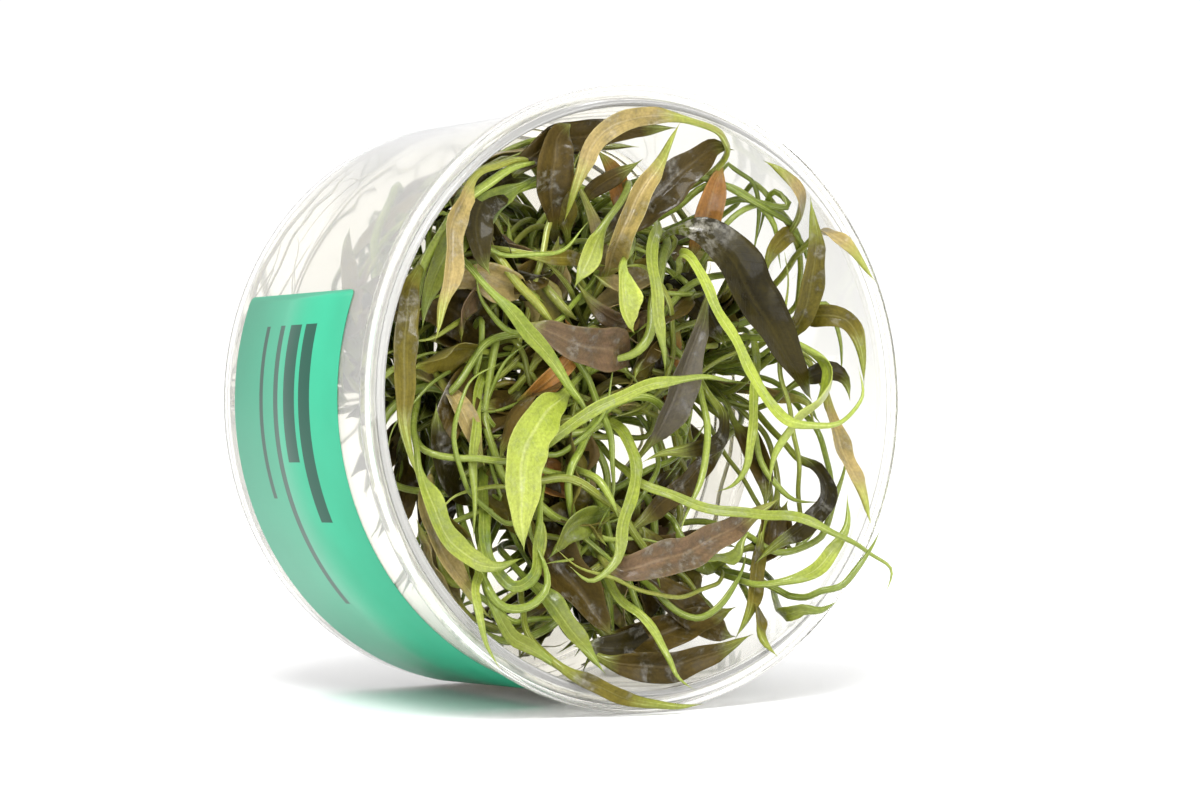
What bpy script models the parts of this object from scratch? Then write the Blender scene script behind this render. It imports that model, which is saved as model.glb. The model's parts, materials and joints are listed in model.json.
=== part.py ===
"""Tissue culture cryptocoryne in a clear cup that lies on its side.

Lengths are millimetres here and become metres when a mesh is made. The cup's own
frame has its axis on +Z, the base disc at z = 0 and the mouth at z = CUP_DEPTH.
One empty then lays that frame down, so that the cup rests on the edge of its base
and the edge of its flange, with the mouth toward -Y.
"""
import math

import bmesh
import bpy
import numpy as np
from mathutils import Vector
from mathutils.kdtree import KDTree

MM = 0.001

# Cup
CUP_DEPTH = 54.7
BASE_RADIUS = 46.2
LIP_RADIUS = 47.6
WALL = 1.05
FLOOR_THICK = 1.25
FLOOR_ROUND_IN = 1.4
FLOOR_ROUND_UP = 2.0
FLANGE_RADIUS = 50.0
FLANGE_THICK = 0.9
SKIRT_DROP = 2.2
LIP_RISE = 0.4
LIP_STEP = 0.1
BASE_ROUND = 1.6
CUP_SIDES = 40
TURN_MERGE = 0.00001

# Label, by its distance from the base and its angle from the top toward -X
LABEL_NEAR_BASE = 5.6
LABEL_NEAR_LIP = 41.0
LABEL_START = 66.5
LABEL_END = 168.0
LABEL_GAP = 0.32
LABEL_THICK = 0.3
LABEL_STEPS = 22

# Gel
GEL_TOP = 17.5
GEL_GAP = 0.35
GEL_SIDES = 36
GEL_MENISCUS = 0.8
GEL_MENISCUS_WIDE = 1.65

# Leaves
EYE = np.array((-516.0, 4.0, 882.0))
PETIOLE = 0.8
WIDEST_PETIOLE = 1.25
PETIOLE_TAPER = (0.3, 0.45)
BLADE_TAPER = (0.12, 0.4)
BLADE_SWELL = (0.75, 0.8, 0.7)
BLADE_THICK = 0.34
STATION_STEP = 4.8
FEWEST_STATIONS = 8
MOST_STATIONS = 16
CURVE_STEPS = 12

# Room round the leaves
LEAF_GAP = 0.5
WALL_GAP = 0.6
LIP_FRONT = 1.3
OVER_LIP = -1.5
NEAREST = -6.0
DEEPEST = 21.0
BEHIND_ALL = 36.0
DEPTH_STEP = 0.25

# Sample points that feel for other leaves
FEELER_ALONG = 1.8
FEELER_ACROSS = 0.8
FEELER_SPREAD = 0.92
FEELER_REACH = 1.0
FEELER_SLACK = 0.3
FEELER_RANGE = 2.6
LEAST_FACING = 0.45

# Settling: rounds, share of each push, largest push, pull back home and stiffness
SETTLE_ROUNDS = 400
PUSH = 0.5
LARGEST_PUSH = 1.5
PULL = 0.01
STIFFNESS = 0.15

COLOURS = {
    "plastic": (0.86, 0.89, 0.90),
    "label": (0.14, 0.60, 0.40),
    "gel": (0.87, 0.88, 0.80),
    "lime": (0.42, 0.58, 0.08),
    "green": (0.22, 0.38, 0.04),
    "olive": (0.20, 0.19, 0.04),
    "dark": (0.06, 0.06, 0.02),
    "brown": (0.16, 0.10, 0.04),
    "mauve": (0.26, 0.16, 0.10),
    "tan": (0.48, 0.38, 0.20),
    "orange": (0.60, 0.34, 0.08),
}

# Each leaf: name, colour, half width of the blade, where the blade starts as a part
# of the length, lean of the blade about its own line in degrees, and its route from
# foot to tip. A route point is (across, up, depth): the place in the plane of the
# mouth where the eye sees the point, and how far behind that plane it lies.
LEAVES = [
    ("leaf_big_olive", "dark", 4.7, 0.34, 12,
     [(-1, 21, 20), (4, 25, 12), (9.5, 26.6, 5), (15, 25, 3), (19, 20, 2), (23, 14, 2),
      (27, 8, 2.5), (30, 3, 3.5), (33, -1.5, 5)]),
    ("leaf_grey_lance", "mauve", 3.2, 0.3, -10,
     [(-4, -13, 18), (0, -8.5, 10), (4, -4.5, 5), (7, 1, 3.5), (9.5, 6, 3.5), (12, 12, 4),
      (14, 17.5, 5)]),
    ("leaf_cut_brown", "mauve", 3.5, 0.0, 8,
     [(-4.5, 7.6, 6), (-10, 8.7, 4.5), (-15, 10.5, 4), (-21, 13, 5)]),
    ("leaf_bright_lime", "lime", 3.5, 0.42, -8,
     [(-2, 11, 18), (-8, 6, 10), (-12, 3, 6), (-16, -0.5, 3), (-19.3, -3.8, 1), (-21.7, -8, 0.3),
      (-22.6, -13, 0), (-22.7, -18, 0.6), (-22.4, -23.5, 2)]),
    ("leaf_long_mauve", "mauve", 2.8, 0.26, 10,
     [(-9, -19, 19), (-8.6, -24, 11), (-5.6, -27.2, 5), (0, -26.4, 2.5), (8, -24.6, 2),
      (15, -22, 2), (20, -19.9, 3), (26, -16.6, 4.5)]),
    ("petiole_hook_right", "lime", 0.85, 0.0, 0,
     [(-6, -9, 16), (-1, -13, 8), (6, -16, 4), (12, -18, 2), (20, -19, 0.2), (28, -20, -0.6),
      (34, -22, -1.4), (40, -25, -2.3), (45, -27.5, -2.6), (47.6, -30, -2.6), (47.1, -32.7, -2.4),
      (45.4, -33.6, -2.3)]),
    ("leaf_loop_right", "lime", 1.3, 0.45, 20,
     [(12, -27, 16), (18, -30, 9), (25, -30.6, 5), (30, -29.6, 3), (34, -27.4, 2),
      (37.2, -24, 1.2), (39.3, -20.5, 0.6), (39.2, -16.6, 0.8)]),
    ("petiole_loop_low", "green", 0.8, 0.0, 0,
     [(24.8, -31.6, 7), (28, -33, 3), (32, -33.0, 0.5), (36.5, -31.8, -1.8), (40.2, -29.2, -2.6),
      (43, -26, -3), (45.6, -22.5, -3)]),
    ("leaf_fold_corner", "green", 1.3, 0.3, -15,
     [(23.4, -29.6, 15), (24.4, -33, 9.5), (25.8, -36, 4.5), (29, -36, 1.5), (33, -35.2, -1.7),
      (36.6, -34.0, -2.0)]),
    ("petiole_y_hook", "lime", 1.15, 0.35, 0,
     [(-9, -2, 16), (-4, -5, 9), (-1.2, -10, 5), (-1.8, -14, 3), (-4, -19, 1.4), (-5, -23, 0.6),
      (-6.2, -27, 0.2), (-9, -28.5, 0.2), (-12, -28, 0.8), (-14.4, -25.7, 2)]),
    ("leaf_tan_hanging", "tan", 2.0, 0.45, 10,
     [(-10, 34, 15), (-17, 37.5, 8), (-24, 37.5, 4), (-29, 35.5, 2), (-32.5, 31.5, 1),
      (-33.5, 26, 0.8), (-34.3, 20, 0.8), (-36, 14, 1.2), (-37.3, 10, 2)]),
    ("leaf_black_olive", "dark", 3.0, 0.35, -12,
     [(-12, 32, 14), (-18, 35, 9), (-24, 34.6, 5.5), (-28, 31, 4), (-28.8, 26.5, 3),
      (-28, 22.5, 3.5), (-26.5, 20, 5)]),
    ("leaf_dark_triangle", "brown", 3.3, 0.0, 10,
     [(-14.7, 34.4, 2.6), (-14.2, 38, 2.4), (-13.4, 41.6, 3), (-10.5, 44, 5)]),
    ("ribbon_top", "tan", 1.7, 0.2, -10,
     [(17.6, 41.6, 9), (14.8, 43, 5), (10.5, 44.3, 3), (5, 45, 2), (0, 44.4, 1.4),
      (-4.5, 42.4, 1), (-8, 39, 1.2), (-10, 35, 2), (-11.3, 31.5, 3.5), (-13, 28, 6)]),
    ("leaf_brown_upper", "brown", 3.2, 0.34, 8,
     [(-16, 18, 19), (-10, 23, 12), (-5, 26, 7), (0, 29, 5), (6, 33.5, 4), (11, 37, 3.6),
      (16, 39.8, 4), (21, 41.2, 5)]),
    ("leaf_pale_fold", "tan", 1.9, 0.3, 15,
     [(-13, 8, 19), (-9.6, 13, 13), (-6.2, 18.6, 8.6), (-3, 25, 2), (0.5, 31, 0.8), (4, 36, 0.8),
      (7.3, 40.2, 1.4), (9.6, 44.0, 2.6)]),
    ("leaf_lime_a", "lime", 1.9, 0.35, -10,
     [(-2.4, 31.2, 4.6), (-4.4, 28.6, 3.8), (-6.6, 25.4, 3.4), (-9, 21.6, 3.2),
      (-11.4, 17.6, 3.4)]),
    ("leaf_lime_b", "lime", 2.6, 0.35, 8,
     [(-0.2, 24.6, 6), (-1.8, 21.6, 3.2), (-2.6, 18, 2), (-2.2, 14, 2), (-0.6, 10.2, 3)]),
    ("leaf_orange", "orange", 2.6, 0.4, 5,
     [(6, 14, 20), (10, 21, 15), (13, 27, 10), (15, 32, 8), (17.6, 38, 8)]),
    ("strap_right_olive", "olive", 2.1, 0.35, 12,
     [(20, 2, 18), (26, 6.5, 10), (30.5, 11, 5), (32.8, 15.5, 2), (34.2, 21, 0),
      (34.6, 26.6, -1.2), (33.7, 31.6, -0.4)]),
    ("stalk_curl_top", "tan", 1.3, 0.3, -10,
     [(27, 23, 15), (31, 27.5, 9), (32.4, 31.5, 5.5), (31, 35, 3), (29.2, 37.6, 2),
      (27, 38.3, 1.8), (25, 37.6, 2)]),
    ("leaf_tan_over_rim", "tan", 1.4, 0.3, 10,
     [(29, 20, 14), (32.4, 23.6, 8), (35.6, 25.4, 2.6), (38.2, 25, -1.6), (41.5, 22.8, -2.3),
      (44.3, 19.8, -2.6), (46.4, 17.3, -2.8)]),
    ("strap_olive_arch", "olive", 1.8, 0.35, -12,
     [(20, 6, 19), (26, 9.5, 12), (31.5, 11.8, 7.6), (36, 12.4, 3.4), (40.3, 11, 1.5),
      (42.4, 8, 1), (42.8, 4.3, 1), (42.8, 0.5, 1.4)]),
    ("leaf_twisted_lime", "lime", 1.7, 0.35, -15,
     [(18, 9, 15), (25, 9, 8), (31, 7.5, 3.6), (35.4, 5.2, 1.6), (36.6, 1.5, 0.6),
      (33.5, -2.4, 0.2), (29.5, -5, 0.2), (26, -9, 0.6), (23.7, -15, 2)]),
    ("petiole_long_s", "lime", 0.95, 0.0, 0,
     [(8.2, 20, 12), (9, 22.6, 6.5), (11, 21.3, 2.2), (15.5, 13.5, 0.4), (19.5, 6.5, 0),
      (23.5, -0.5, -0.6), (28.5, -4.6, -1.4), (33.5, -5.6, -1.4), (38.5, -5, -1.4),
      (42, -2.3, -1), (42.9, 1, -0.8), (41.8, 3.8, -0.6)]),
    ("strap_tan_right", "tan", 1.9, 0.3, 12,
     [(31, 7, 15), (35, 1, 9), (36.6, -5, 5), (37.8, -9.5, 3), (40, -13, 0.4), (42, -17, -2),
      (43.8, -22.3, -2.4)]),
    ("leaf_curl_grey", "dark", 2.1, 0.3, 12,
     [(23, -4, 18), (28.5, -9.5, 11), (33, -12.3, 7), (35, -15.5, 5), (33.3, -19, 4),
      (29, -22, 4), (24.5, -24.8, 4.8), (20.5, -27.4, 6.5)]),
    ("leaf_over_bottom_rim", "olive", 1.3, 0.35, -5,
     [(-23, -29, 15), (-22.5, -35, 8), (-19, -40, 2.5), (-14.5, -43, -0.8), (-9.5, -45.2, -2.2),
      (-4.5, -47.2, -2.5), (0, -48.6, -2.7), (5, -49.2, -2.9), (10, -49.25, -3.1)]),
    ("leaf_tan_left_low", "tan", 2.2, 0.3, 15,
     [(-30, -4, 20), (-36.6, -8.5, 13), (-40.1, -14, 4.8), (-38.6, -19, 3.2), (-35.8, -24.5, 3),
      (-32.4, -29.5, 3.2), (-28.5, -34, 4.5)]),
    ("stem_over_rim", "lime", 0.9, 0.0, 0,
     [(-29, -18, 12), (-30.8, -25, 5), (-31.3, -29.5, 0), (-30.8, -33.5, -2.4),
      (-29.2, -38.6, -2.6), (-27.4, -42.0, -2.6)]),
    ("strap_left_olive", "olive", 1.9, 0.15, -15,
     [(-35, 27, 12), (-39.5, 21.5, 6), (-41.8, 15, 2.6), (-42.7, 8, 1.8), (-43, 1, 1.6),
      (-42.5, -6, 2), (-40.8, -11.4, 3)]),
    ("leaf_lime_left", "lime", 2.0, 0.3, 10,
     [(-40.6, 1, 14), (-41.4, -4, 9), (-41, -8.6, 5), (-39.8, -12.4, 2.2), (-38, -16.4, 1),
      (-35.3, -21.4, 1), (-31, -24.6, 1.4), (-26.5, -25.4, 2.2), (-22.5, -24, 4.2)]),
    ("leaf_dark_bottom", "brown", 3.8, 0.22, -8,
     [(-26, -12, 20), (-21.5, -18.5, 15), (-17, -25, 12.5), (-11.5, -31.6, 11),
      (-6.5, -38, 10.5)]),
    ("leaf_bottom_brown_a", "brown", 2.9, 0.22, 10,
     [(-12, -33, 16), (-6.5, -38, 11), (0, -37.8, 8.6), (6, -36.6, 8), (12, -35.4, 7.6),
      (17, -34, 8)]),
    ("leaf_bottom_brown_b", "brown", 2.6, 0.25, -10,
     [(-15, -36, 15), (-10, -40.2, 8.6), (-3.5, -42.3, 5), (3, -42.7, 4), (9, -41.7, 3.6),
      (15, -40.2, 3), (20, -38.6, 3)]),
    ("leaf_green_bottom", "green", 2.0, 0.2, 10,
     [(-25, -25, 13), (-19.5, -29.8, 6), (-16, -33.5, 3.4), (-13.5, -37, 2.4), (-11, -40.3, 1.4),
      (-8, -43.4, 0.4)]),
    ("leaf_bright_long", "green", 1.3, 0.2, -10,
     [(-33.2, 24, 9), (-30.5, 21.6, 5), (-27, 18, 3), (-22.5, 13.5, 2.5), (-18, 9, 2.5),
      (-14, 4, 3), (-11, -0.5, 4.5), (-9, -4, 7)]),
    ("leaf_wide_brown_left", "brown", 4.0, 0.2, 8,
     [(-19, 4, 19), (-24, 8, 12), (-29, 11.5, 9), (-35, 15.5, 9), (-41, 17.5, 12),
      (-46, 18.4, 15.5), (-50.3, 18.6, 19)]),
    ("leaf_dark_left", "dark", 2.8, 0.25, -8,
     [(-27, -17, 18), (-32, -14.5, 12), (-35.6, -11, 8), (-37.3, -6, 6.6), (-37.2, 0.5, 6.6)]),
    ("petiole_loop_a", "green", 1.0, 0.0, 0,
     [(-29.5, -12, 11), (-29.8, -18, 6), (-28.8, -23.4, 3), (-26.5, -27.6, 1.4), (-23, -29, 1),
      (-20.3, -26.4, 1.2), (-19.8, -21, 3), (-18.8, -15, 7), (-17.3, -9, 12)]),
    ("petiole_vertical_left", "lime", 0.9, 0.0, 0,
     [(-26, 9, 13), (-29.5, 3, 6), (-30.6, -4, 3.4), (-31, -11, 2.6), (-30.9, -17, 2.6),
      (-31.5, -21.5, 4)]),
    ("petiole_arch_centre", "lime", 1.0, 0.0, 0,
     [(-22, -9, 11), (-17, -6, 4.6), (-11.5, -3, 2), (-6, -0.3, 1.4), (0, 1.6, 1), (6, 2.6, 1),
      (12, 2.9, 1.6), (16.5, 2.6, 3), (19.4, 2, 5)]),
    ("petiole_centre_drop", "lime", 1.15, 0.0, 0,
     [(4.4, 27.4, 6), (3.4, 24.4, 2.6), (3.3, 20, 1), (3.8, 14, 0.4), (4.7, 7.5, 0.8),
      (5.2, 3.5, 2)]),
    ("leaf_dark_mid", "dark", 3.3, 0.2, -5,
     [(0, 16.5, 20), (5, 17.3, 15), (10, 16, 12.5), (13.5, 12.5, 11.5), (17, 7.5, 11.5)]),
    ("leaf_dark_curl_mid", "dark", 1.5, 0.3, 8,
     [(8, 7, 16), (12.5, 1, 10), (15.8, -3.6, 7.6), (14.6, -7, 6.6), (10, -8.3, 6.4),
      (5, -8.5, 7), (0, -10.4, 9)]),
    ("leaf_brown_drop", "brown", 2.1, 0.25, -6,
     [(16, -1, 19), (19, -6, 13), (22, -10.5, 9), (23.3, -14.5, 8), (22.6, -19, 9)]),
    ("leaf_brown_diagonal", "brown", 2.1, 0.2, 6,
     [(19, -4, 16), (13.5, -9.5, 10), (9, -12.8, 8), (4, -16.3, 7.4), (-0.5, -19.4, 8),
      (-4.5, -22.5, 10)]),
    ("petiole_pale_right", "lime", 0.9, 0.0, 0,
     [(22, 8, 13), (21.7, 1, 6.6), (21, -5.5, 4.8), (20, -11, 5.4), (17, -14.2, 7),
      (13.5, -15.4, 9.5)]),
    ("petiole_loop_upper", "green", 0.8, 0.0, 0,
     [(12, 28.6, 15), (18.5, 31.2, 10.5), (24.6, 30.4, 8.5), (28.8, 29.2, 7), (30, 30.8, 6.5),
      (28.6, 32.9, 6.8), (26.2, 31.8, 8.4), (24.4, 28.4, 10.5), (23, 24.2, 13)]),
    ("strap_over_low_right", "olive", 1.4, 0.25, 8,
     [(17, -29, 13), (20.2, -34, 6), (21.1, -37.4, 1.4), (22.6, -40.6, -1.9),
      (24.6, -42.6, -2.3)]),
    ("petiole_bottom_mid", "lime", 0.85, 0.0, 0,
     [(-9, -26, 13), (-4.5, -32, 7), (-0.6, -35, 4), (2, -38.5, 2), (3.9, -42, 0.2),
      (5.2, -44.8, -2), (7, -46.4, -2.2), (8.8, -46.8, -2.2)]),
    ("leaf_yellow_wall", "tan", 1.9, 0.3, 0,
     [(-45.5, 5, 20), (-48.5, 9.5, 19), (-50.5, 15.4, 19.5), (-51.8, 22, 25), (-51.2, 28, 30)]),
]

# Crowns: where each stands on the gel, across and up, and how far its top leans over
CROWNS = [
    ("crown_01", (1, 1), (2, 2)), ("crown_02", (25, 4), (3, -1)), ("crown_03", (3, 27), (1, 2)),
    ("crown_04", (-21, 2), (-3, 1)), ("crown_05", (5, -25), (1, -3)),
]
CROWN_GAP = 0.35
CROWN_TOP = 31.0
CROWN_SHOULDERS = (2.5, 4.2, 1.2)
CROWN_WAIST = 0.6
CROWN_TIP = 0.5
CROWN_FOOT_RADIUS = 3.4
CROWN_TOP_RADIUS = 6.4
CROWN_SIDES = 10
CROWN_LOBE = 0.14

# Sprays: the small leaves of the plantlets, which grow out of the sides of their crowns. Each
# one takes the next golden share of the ranges of its band: how far it reaches, the height of
# its tip, its half width, and the depths behind the mouth that it may settle to.
GOLDEN = 0.618034
SPRAY_BANDS = {
    1: {"reach": (9.0, 24.0), "tip": (26.5, 32.5), "half_width": (2.8, 4.4), "blade_start": 0.12,
        "depth": (22.4, 33.5)},
    2: {"reach": (9.0, 26.0), "tip": (32.7, 45.7), "half_width": (1.6, 3.6), "blade_start": 0.3,
        "depth": (7.0, 26.0)},
}
SPRAY_TURNS = 10
SPRAY_SLIMMER = 0.92
SPRAY_SWIRL = (-0.35, 0.35)
SPRAY_LEAN = (-25.0, 25.0)
SPRAY_DROOP = 1.2
SPRAY_ROOM = 1.2
SPRAY_SHRINK = 0.85
SPRAY_SHORTEST = 7.0
SPRAY_PATH = ((0.0, 0.0, 0.0), (0.3, 0.1, 0.4), (0.6, 0.45, 0.85), (0.85, 0.9, 1.0), (1.0, 1.2, 1.0))
SPRAY_STATIONS = 7
SPRAY_PINNED = 2
SPRAY_FLAT = 0.8
SPRAY_SQUEEZE = 0.25
CROWN_ROOM = 0.5

# Where the eye sees through the tangle: across and up in the plane of the mouth, and half
# the width and half the height of the gap
SEEN_THROUGH = [
    (-20, 31.5, 4, 4), (-9, 31, 4.5, 5), (2, 39.5, 6, 3.5), (12, 30.5, 8, 4), (26, 36, 6, 8),
    (27, 24, 4, 6), (38, 34, 7, 12), (44, 18, 5, 9), (38, 7, 4.5, 4.5), (12.5, -3, 3, 3.5),
    (0.5, -8, 4.5, 3), (-6, -11, 3, 3.5), (17, 0.5, 3.5, 2.5), (23, 11, 4, 3), (24, -7, 5, 6),
    (15, -12, 5, 3.5), (33, -10, 4, 3), (41, -12, 4, 7), (34, -26, 6, 5), (44, -30, 6, 8),
    (31, -38, 6, 5),
]


def clear_scene():
    for obj in list(bpy.data.objects):
        bpy.data.objects.remove(obj, do_unlink=True)


def new_collection(name):
    collection = bpy.data.collections.new(name)
    bpy.context.scene.collection.children.link(collection)
    return collection


def material(name, roughness, transmission=0.0, alpha=1.0):
    found = bpy.data.materials.get(name)
    if found:
        return found
    made = bpy.data.materials.new(name)
    made.use_nodes = True
    shader = made.node_tree.nodes["Principled BSDF"]
    shader.inputs["Base Color"].default_value = (*COLOURS[name], 1.0)
    shader.inputs["Roughness"].default_value = roughness
    shader.inputs["Metallic"].default_value = 0.0
    shader.inputs["Transmission Weight"].default_value = transmission
    shader.inputs["Alpha"].default_value = alpha
    return made


def add_part(name, mesh, parts, carrier, finish):
    mesh.materials.append(finish)
    obj = bpy.data.objects.new(name, mesh)
    parts.objects.link(obj)
    obj.parent = carrier
    return obj


def wall_radius(height):
    """Outer radius of the cup's wall at a distance from the base."""
    return BASE_RADIUS + (LIP_RADIUS - BASE_RADIUS) * height / CUP_DEPTH


def inner_radius(height):
    return wall_radius(height) - WALL


def cup_profile():
    """Half section of the cup: the base's rounded edge, up to the lip, and down inside."""
    rounding = [
        (BASE_RADIUS - BASE_ROUND * (1 - math.sin(turn)), BASE_ROUND * (1 - math.cos(turn)))
        for turn in (0.0, math.pi / 4, math.pi / 2)
    ]
    flange_low = CUP_DEPTH - FLANGE_THICK
    outside = [(0.0, 0.0)] + rounding + [
        (wall_radius(flange_low), flange_low),
        (FLANGE_RADIUS - FLANGE_THICK, flange_low),
        (FLANGE_RADIUS - FLANGE_THICK, CUP_DEPTH - SKIRT_DROP),
        (FLANGE_RADIUS, CUP_DEPTH - SKIRT_DROP),
        (FLANGE_RADIUS, CUP_DEPTH),
        (LIP_RADIUS + LIP_STEP, CUP_DEPTH),
        (LIP_RADIUS, CUP_DEPTH + LIP_RISE),
    ]
    inside = [
        (LIP_RADIUS - WALL, CUP_DEPTH + LIP_RISE),
        (inner_radius(FLOOR_THICK + FLOOR_ROUND_UP), FLOOR_THICK + FLOOR_ROUND_UP),
        (inner_radius(FLOOR_THICK) - FLOOR_ROUND_IN, FLOOR_THICK),
        (0.0, FLOOR_THICK),
    ]
    return outside + inside


def add_turned(name, profile, first_angle, sides, finish, parts, carrier):
    """Body turned from its half section, given from the outside bottom round to the axis."""
    mesh = bpy.data.meshes.new(name)
    shape = bmesh.new()
    line = [
        shape.verts.new(Vector((r * math.cos(first_angle), r * math.sin(first_angle), z)) * MM)
        for r, z in reversed(profile)
    ]
    for a, b in zip(line, line[1:]):
        shape.edges.new((a, b))
    shape.to_mesh(mesh)
    shape.free()
    body = add_part(name, mesh, parts, carrier, finish)
    turn = body.modifiers.new("turn", "SCREW")
    turn.steps = sides
    turn.render_steps = sides
    turn.use_merge_vertices = True
    turn.merge_threshold = TURN_MERGE
    turn.use_smooth_shade = False
    return body


def make_cup(parts, carrier):
    """Turned shell. It starts half a step round, so that a flat side faces the floor."""
    finish = material("plastic", 0.12, 0.9, 0.35)
    return add_turned("cup", cup_profile(), math.pi / CUP_SIDES, CUP_SIDES, finish, parts, carrier)


def on_wall(angle, height, lift):
    """Point outside the wall, at an angle in degrees from the top toward -X."""
    reach = wall_radius(height) + lift
    turn = math.radians(angle)
    return Vector((-reach * math.sin(turn), reach * math.cos(turn), height)) * MM


def make_label(parts, carrier):
    """Sticker bent round the wall: a flat grid rolled on to the cone, then thickened outward."""
    mesh = bpy.data.meshes.new("label")
    shape = bmesh.new()
    bmesh.ops.create_grid(shape, x_segments=LABEL_STEPS, y_segments=2, size=0.5)
    for vert in shape.verts:
        angle = LABEL_START + (LABEL_END - LABEL_START) * (vert.co.x + 0.5)
        height = LABEL_NEAR_BASE + (LABEL_NEAR_LIP - LABEL_NEAR_BASE) * (vert.co.y + 0.5)
        vert.co = on_wall(angle, height, LABEL_GAP)
    shape.faces.ensure_lookup_table()
    shape.normal_update()
    outward = Vector((*shape.faces[0].calc_center_median().xy, 0.0))
    if shape.faces[0].normal.dot(outward) < 0:
        bmesh.ops.reverse_faces(shape, faces=shape.faces)
    shape.to_mesh(mesh)
    shape.free()
    label = add_part("label", mesh, parts, carrier, material("label", 0.5))
    skin = label.modifiers.new("thickness", "SOLIDIFY")
    skin.thickness = LABEL_THICK * MM
    skin.offset = 1.0
    return label


def make_gel(parts, carrier):
    """Pad of clear gel on the cup's floor, with a raised edge where it climbs the wall."""
    low = FLOOR_THICK + GEL_GAP
    edge_low = low + FLOOR_ROUND_UP
    profile = [
        (0.0, low),
        (inner_radius(low) - GEL_GAP - FLOOR_ROUND_IN, low),
        (inner_radius(edge_low) - GEL_GAP, edge_low),
        (inner_radius(GEL_TOP) - GEL_GAP, GEL_TOP + GEL_MENISCUS),
        (inner_radius(GEL_TOP) - GEL_GAP - GEL_MENISCUS_WIDE, GEL_TOP),
        (0.0, GEL_TOP),
    ]
    finish = material("gel", 0.1, 0.9, 0.4)
    return add_turned("nutrient_gel", profile, 0.0, GEL_SIDES, finish, parts, carrier)


def smooth_route(points):
    """Catmull-Rom curve through the route's points."""
    knots = np.array(points, float)
    padded = np.vstack([2 * knots[0] - knots[1], knots, 2 * knots[-1] - knots[-2]])
    t = np.linspace(0, 1, CURVE_STEPS, endpoint=False)[:, None]
    fine = []
    for k in range(len(knots) - 1):
        a, b, c, d = padded[k:k + 4]
        square = 2 * a - 5 * b + 4 * c - d
        cube = 3 * b - a - 3 * c + d
        fine.append(0.5 * (2 * b + (c - a) * t + square * t ** 2 + cube * t ** 3))
    return np.vstack(fine + [knots[-1:]])


def evenly(line, count):
    """Points at even distances along a line."""
    run = np.concatenate([[0], np.cumsum(np.linalg.norm(np.diff(line, axis=0), axis=1))])
    stops = np.linspace(0, run[-1], count)
    return np.column_stack([np.interp(stops, run, line[:, k]) for k in range(line.shape[1])])


def behind_mouth(seen):
    """Place in the cup's frame of (across, up, depth), along the eye's line through the mouth."""
    seen = np.atleast_2d(seen)
    gate = np.column_stack([seen[:, 0], seen[:, 1], np.full(len(seen), CUP_DEPTH)])
    ray = gate - EYE
    return gate + ray * (seen[:, 2] / -ray[:, 2])[:, None]


def unit(vectors):
    return vectors / np.maximum(np.linalg.norm(vectors, axis=-1, keepdims=True), 1e-9)


def between(values, k, share):
    """Value at a share of the way from station k to the next one."""
    return values[k] * (1 - share) + values[k + 1] * share


class Leaf:
    """One leaf with its petiole, as stations along its route."""

    def __init__(self, name, colour, half_width, blade_start, lean, points, count=0):
        self.name = name
        self.colour = colour
        line = smooth_route(points)
        if not count:
            length = np.linalg.norm(np.diff(behind_mouth(line), axis=0), axis=1).sum()
            count = int(np.clip(round(length / STATION_STEP), FEWEST_STATIONS, MOST_STATIONS))
        self.seen = evenly(line, count)
        self.over_lip = self.seen[:, 2] < OVER_LIP
        self.pinned = 0
        self.nearest = NEAREST
        self.deepest = DEEPEST
        self.lean = math.radians(lean)
        slim = min(PETIOLE, half_width)
        self.half = self.widths(np.linspace(0, 1, count), half_width, slim, blade_start)
        flat = np.clip((self.half - slim) / max(half_width - slim, 0.01), 0, 1)
        self.thick = slim * (1 - flat) + BLADE_THICK * flat

    def widths(self, along, half_width, slim, blade_start):
        """Half width along the leaf: the petiole, then a blade that swells and runs to a point."""
        if half_width <= WIDEST_PETIOLE:
            length, least = PETIOLE_TAPER
            return half_width * np.clip((1 - along) / length, least, 1)
        length, least = BLADE_TAPER
        early, full, cut = BLADE_SWELL
        blade = np.clip((along - blade_start) / (1 - blade_start), 0, 1)
        if blade_start > 0:
            swell = np.sin(np.pi * blade ** early) ** full
        else:
            swell = np.cos(0.5 * np.pi * blade) ** cut
        return np.maximum(slim * np.clip((1 - along) / length, least, 1), half_width * swell)

    def frame(self):
        """Centres, side directions and normals in the cup's frame."""
        centre = behind_mouth(self.seen)
        tangent = unit(np.gradient(centre, axis=0))
        side = unit(np.cross(tangent, (0.0, 0.0, 1.0)))
        normal = np.cross(side, tangent)
        turned_side = side * math.cos(self.lean) + normal * math.sin(self.lean)
        turned_normal = normal * math.cos(self.lean) - side * math.sin(self.lean)
        return centre, turned_side, turned_normal


def feelers(leaves):
    """Sample points over every leaf.

    A row holds the leaf, the station, the share of the next one, the place seen across
    and up, the depth, the thickness along the eye's line and the reach.
    """
    rows = []
    for number, leaf in enumerate(leaves):
        centre, side, normal = leaf.frame()
        facing = np.abs((normal * unit(centre - EYE)).sum(axis=1))
        lift = leaf.thick / np.clip(facing, LEAST_FACING, 1)
        last = len(centre) - 2
        for k in range(last + 1):
            steps = max(1, int(round(np.linalg.norm(centre[k + 1] - centre[k]) / FEELER_ALONG)))
            for step in range(steps + (k == last)):
                share = step / steps
                half = between(leaf.half, k, share)
                count = max(1, int(round(half / FEELER_ACROSS)))
                offsets = np.linspace(-1, 1, count) if count > 1 else (0.0,)
                reach = FEELER_REACH if count > 1 else half
                for offset in offsets:
                    spot = between(centre, k, share)
                    spot = spot + between(side, k, share) * offset * half * FEELER_SPREAD
                    gate = EYE + (spot - EYE) * (CUP_DEPTH - EYE[2]) / (spot[2] - EYE[2])
                    rows.append((number, k, share, gate[0], gate[1], CUP_DEPTH - spot[2],
                                 between(lift, k, share), reach))
    return np.array(rows)


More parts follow.
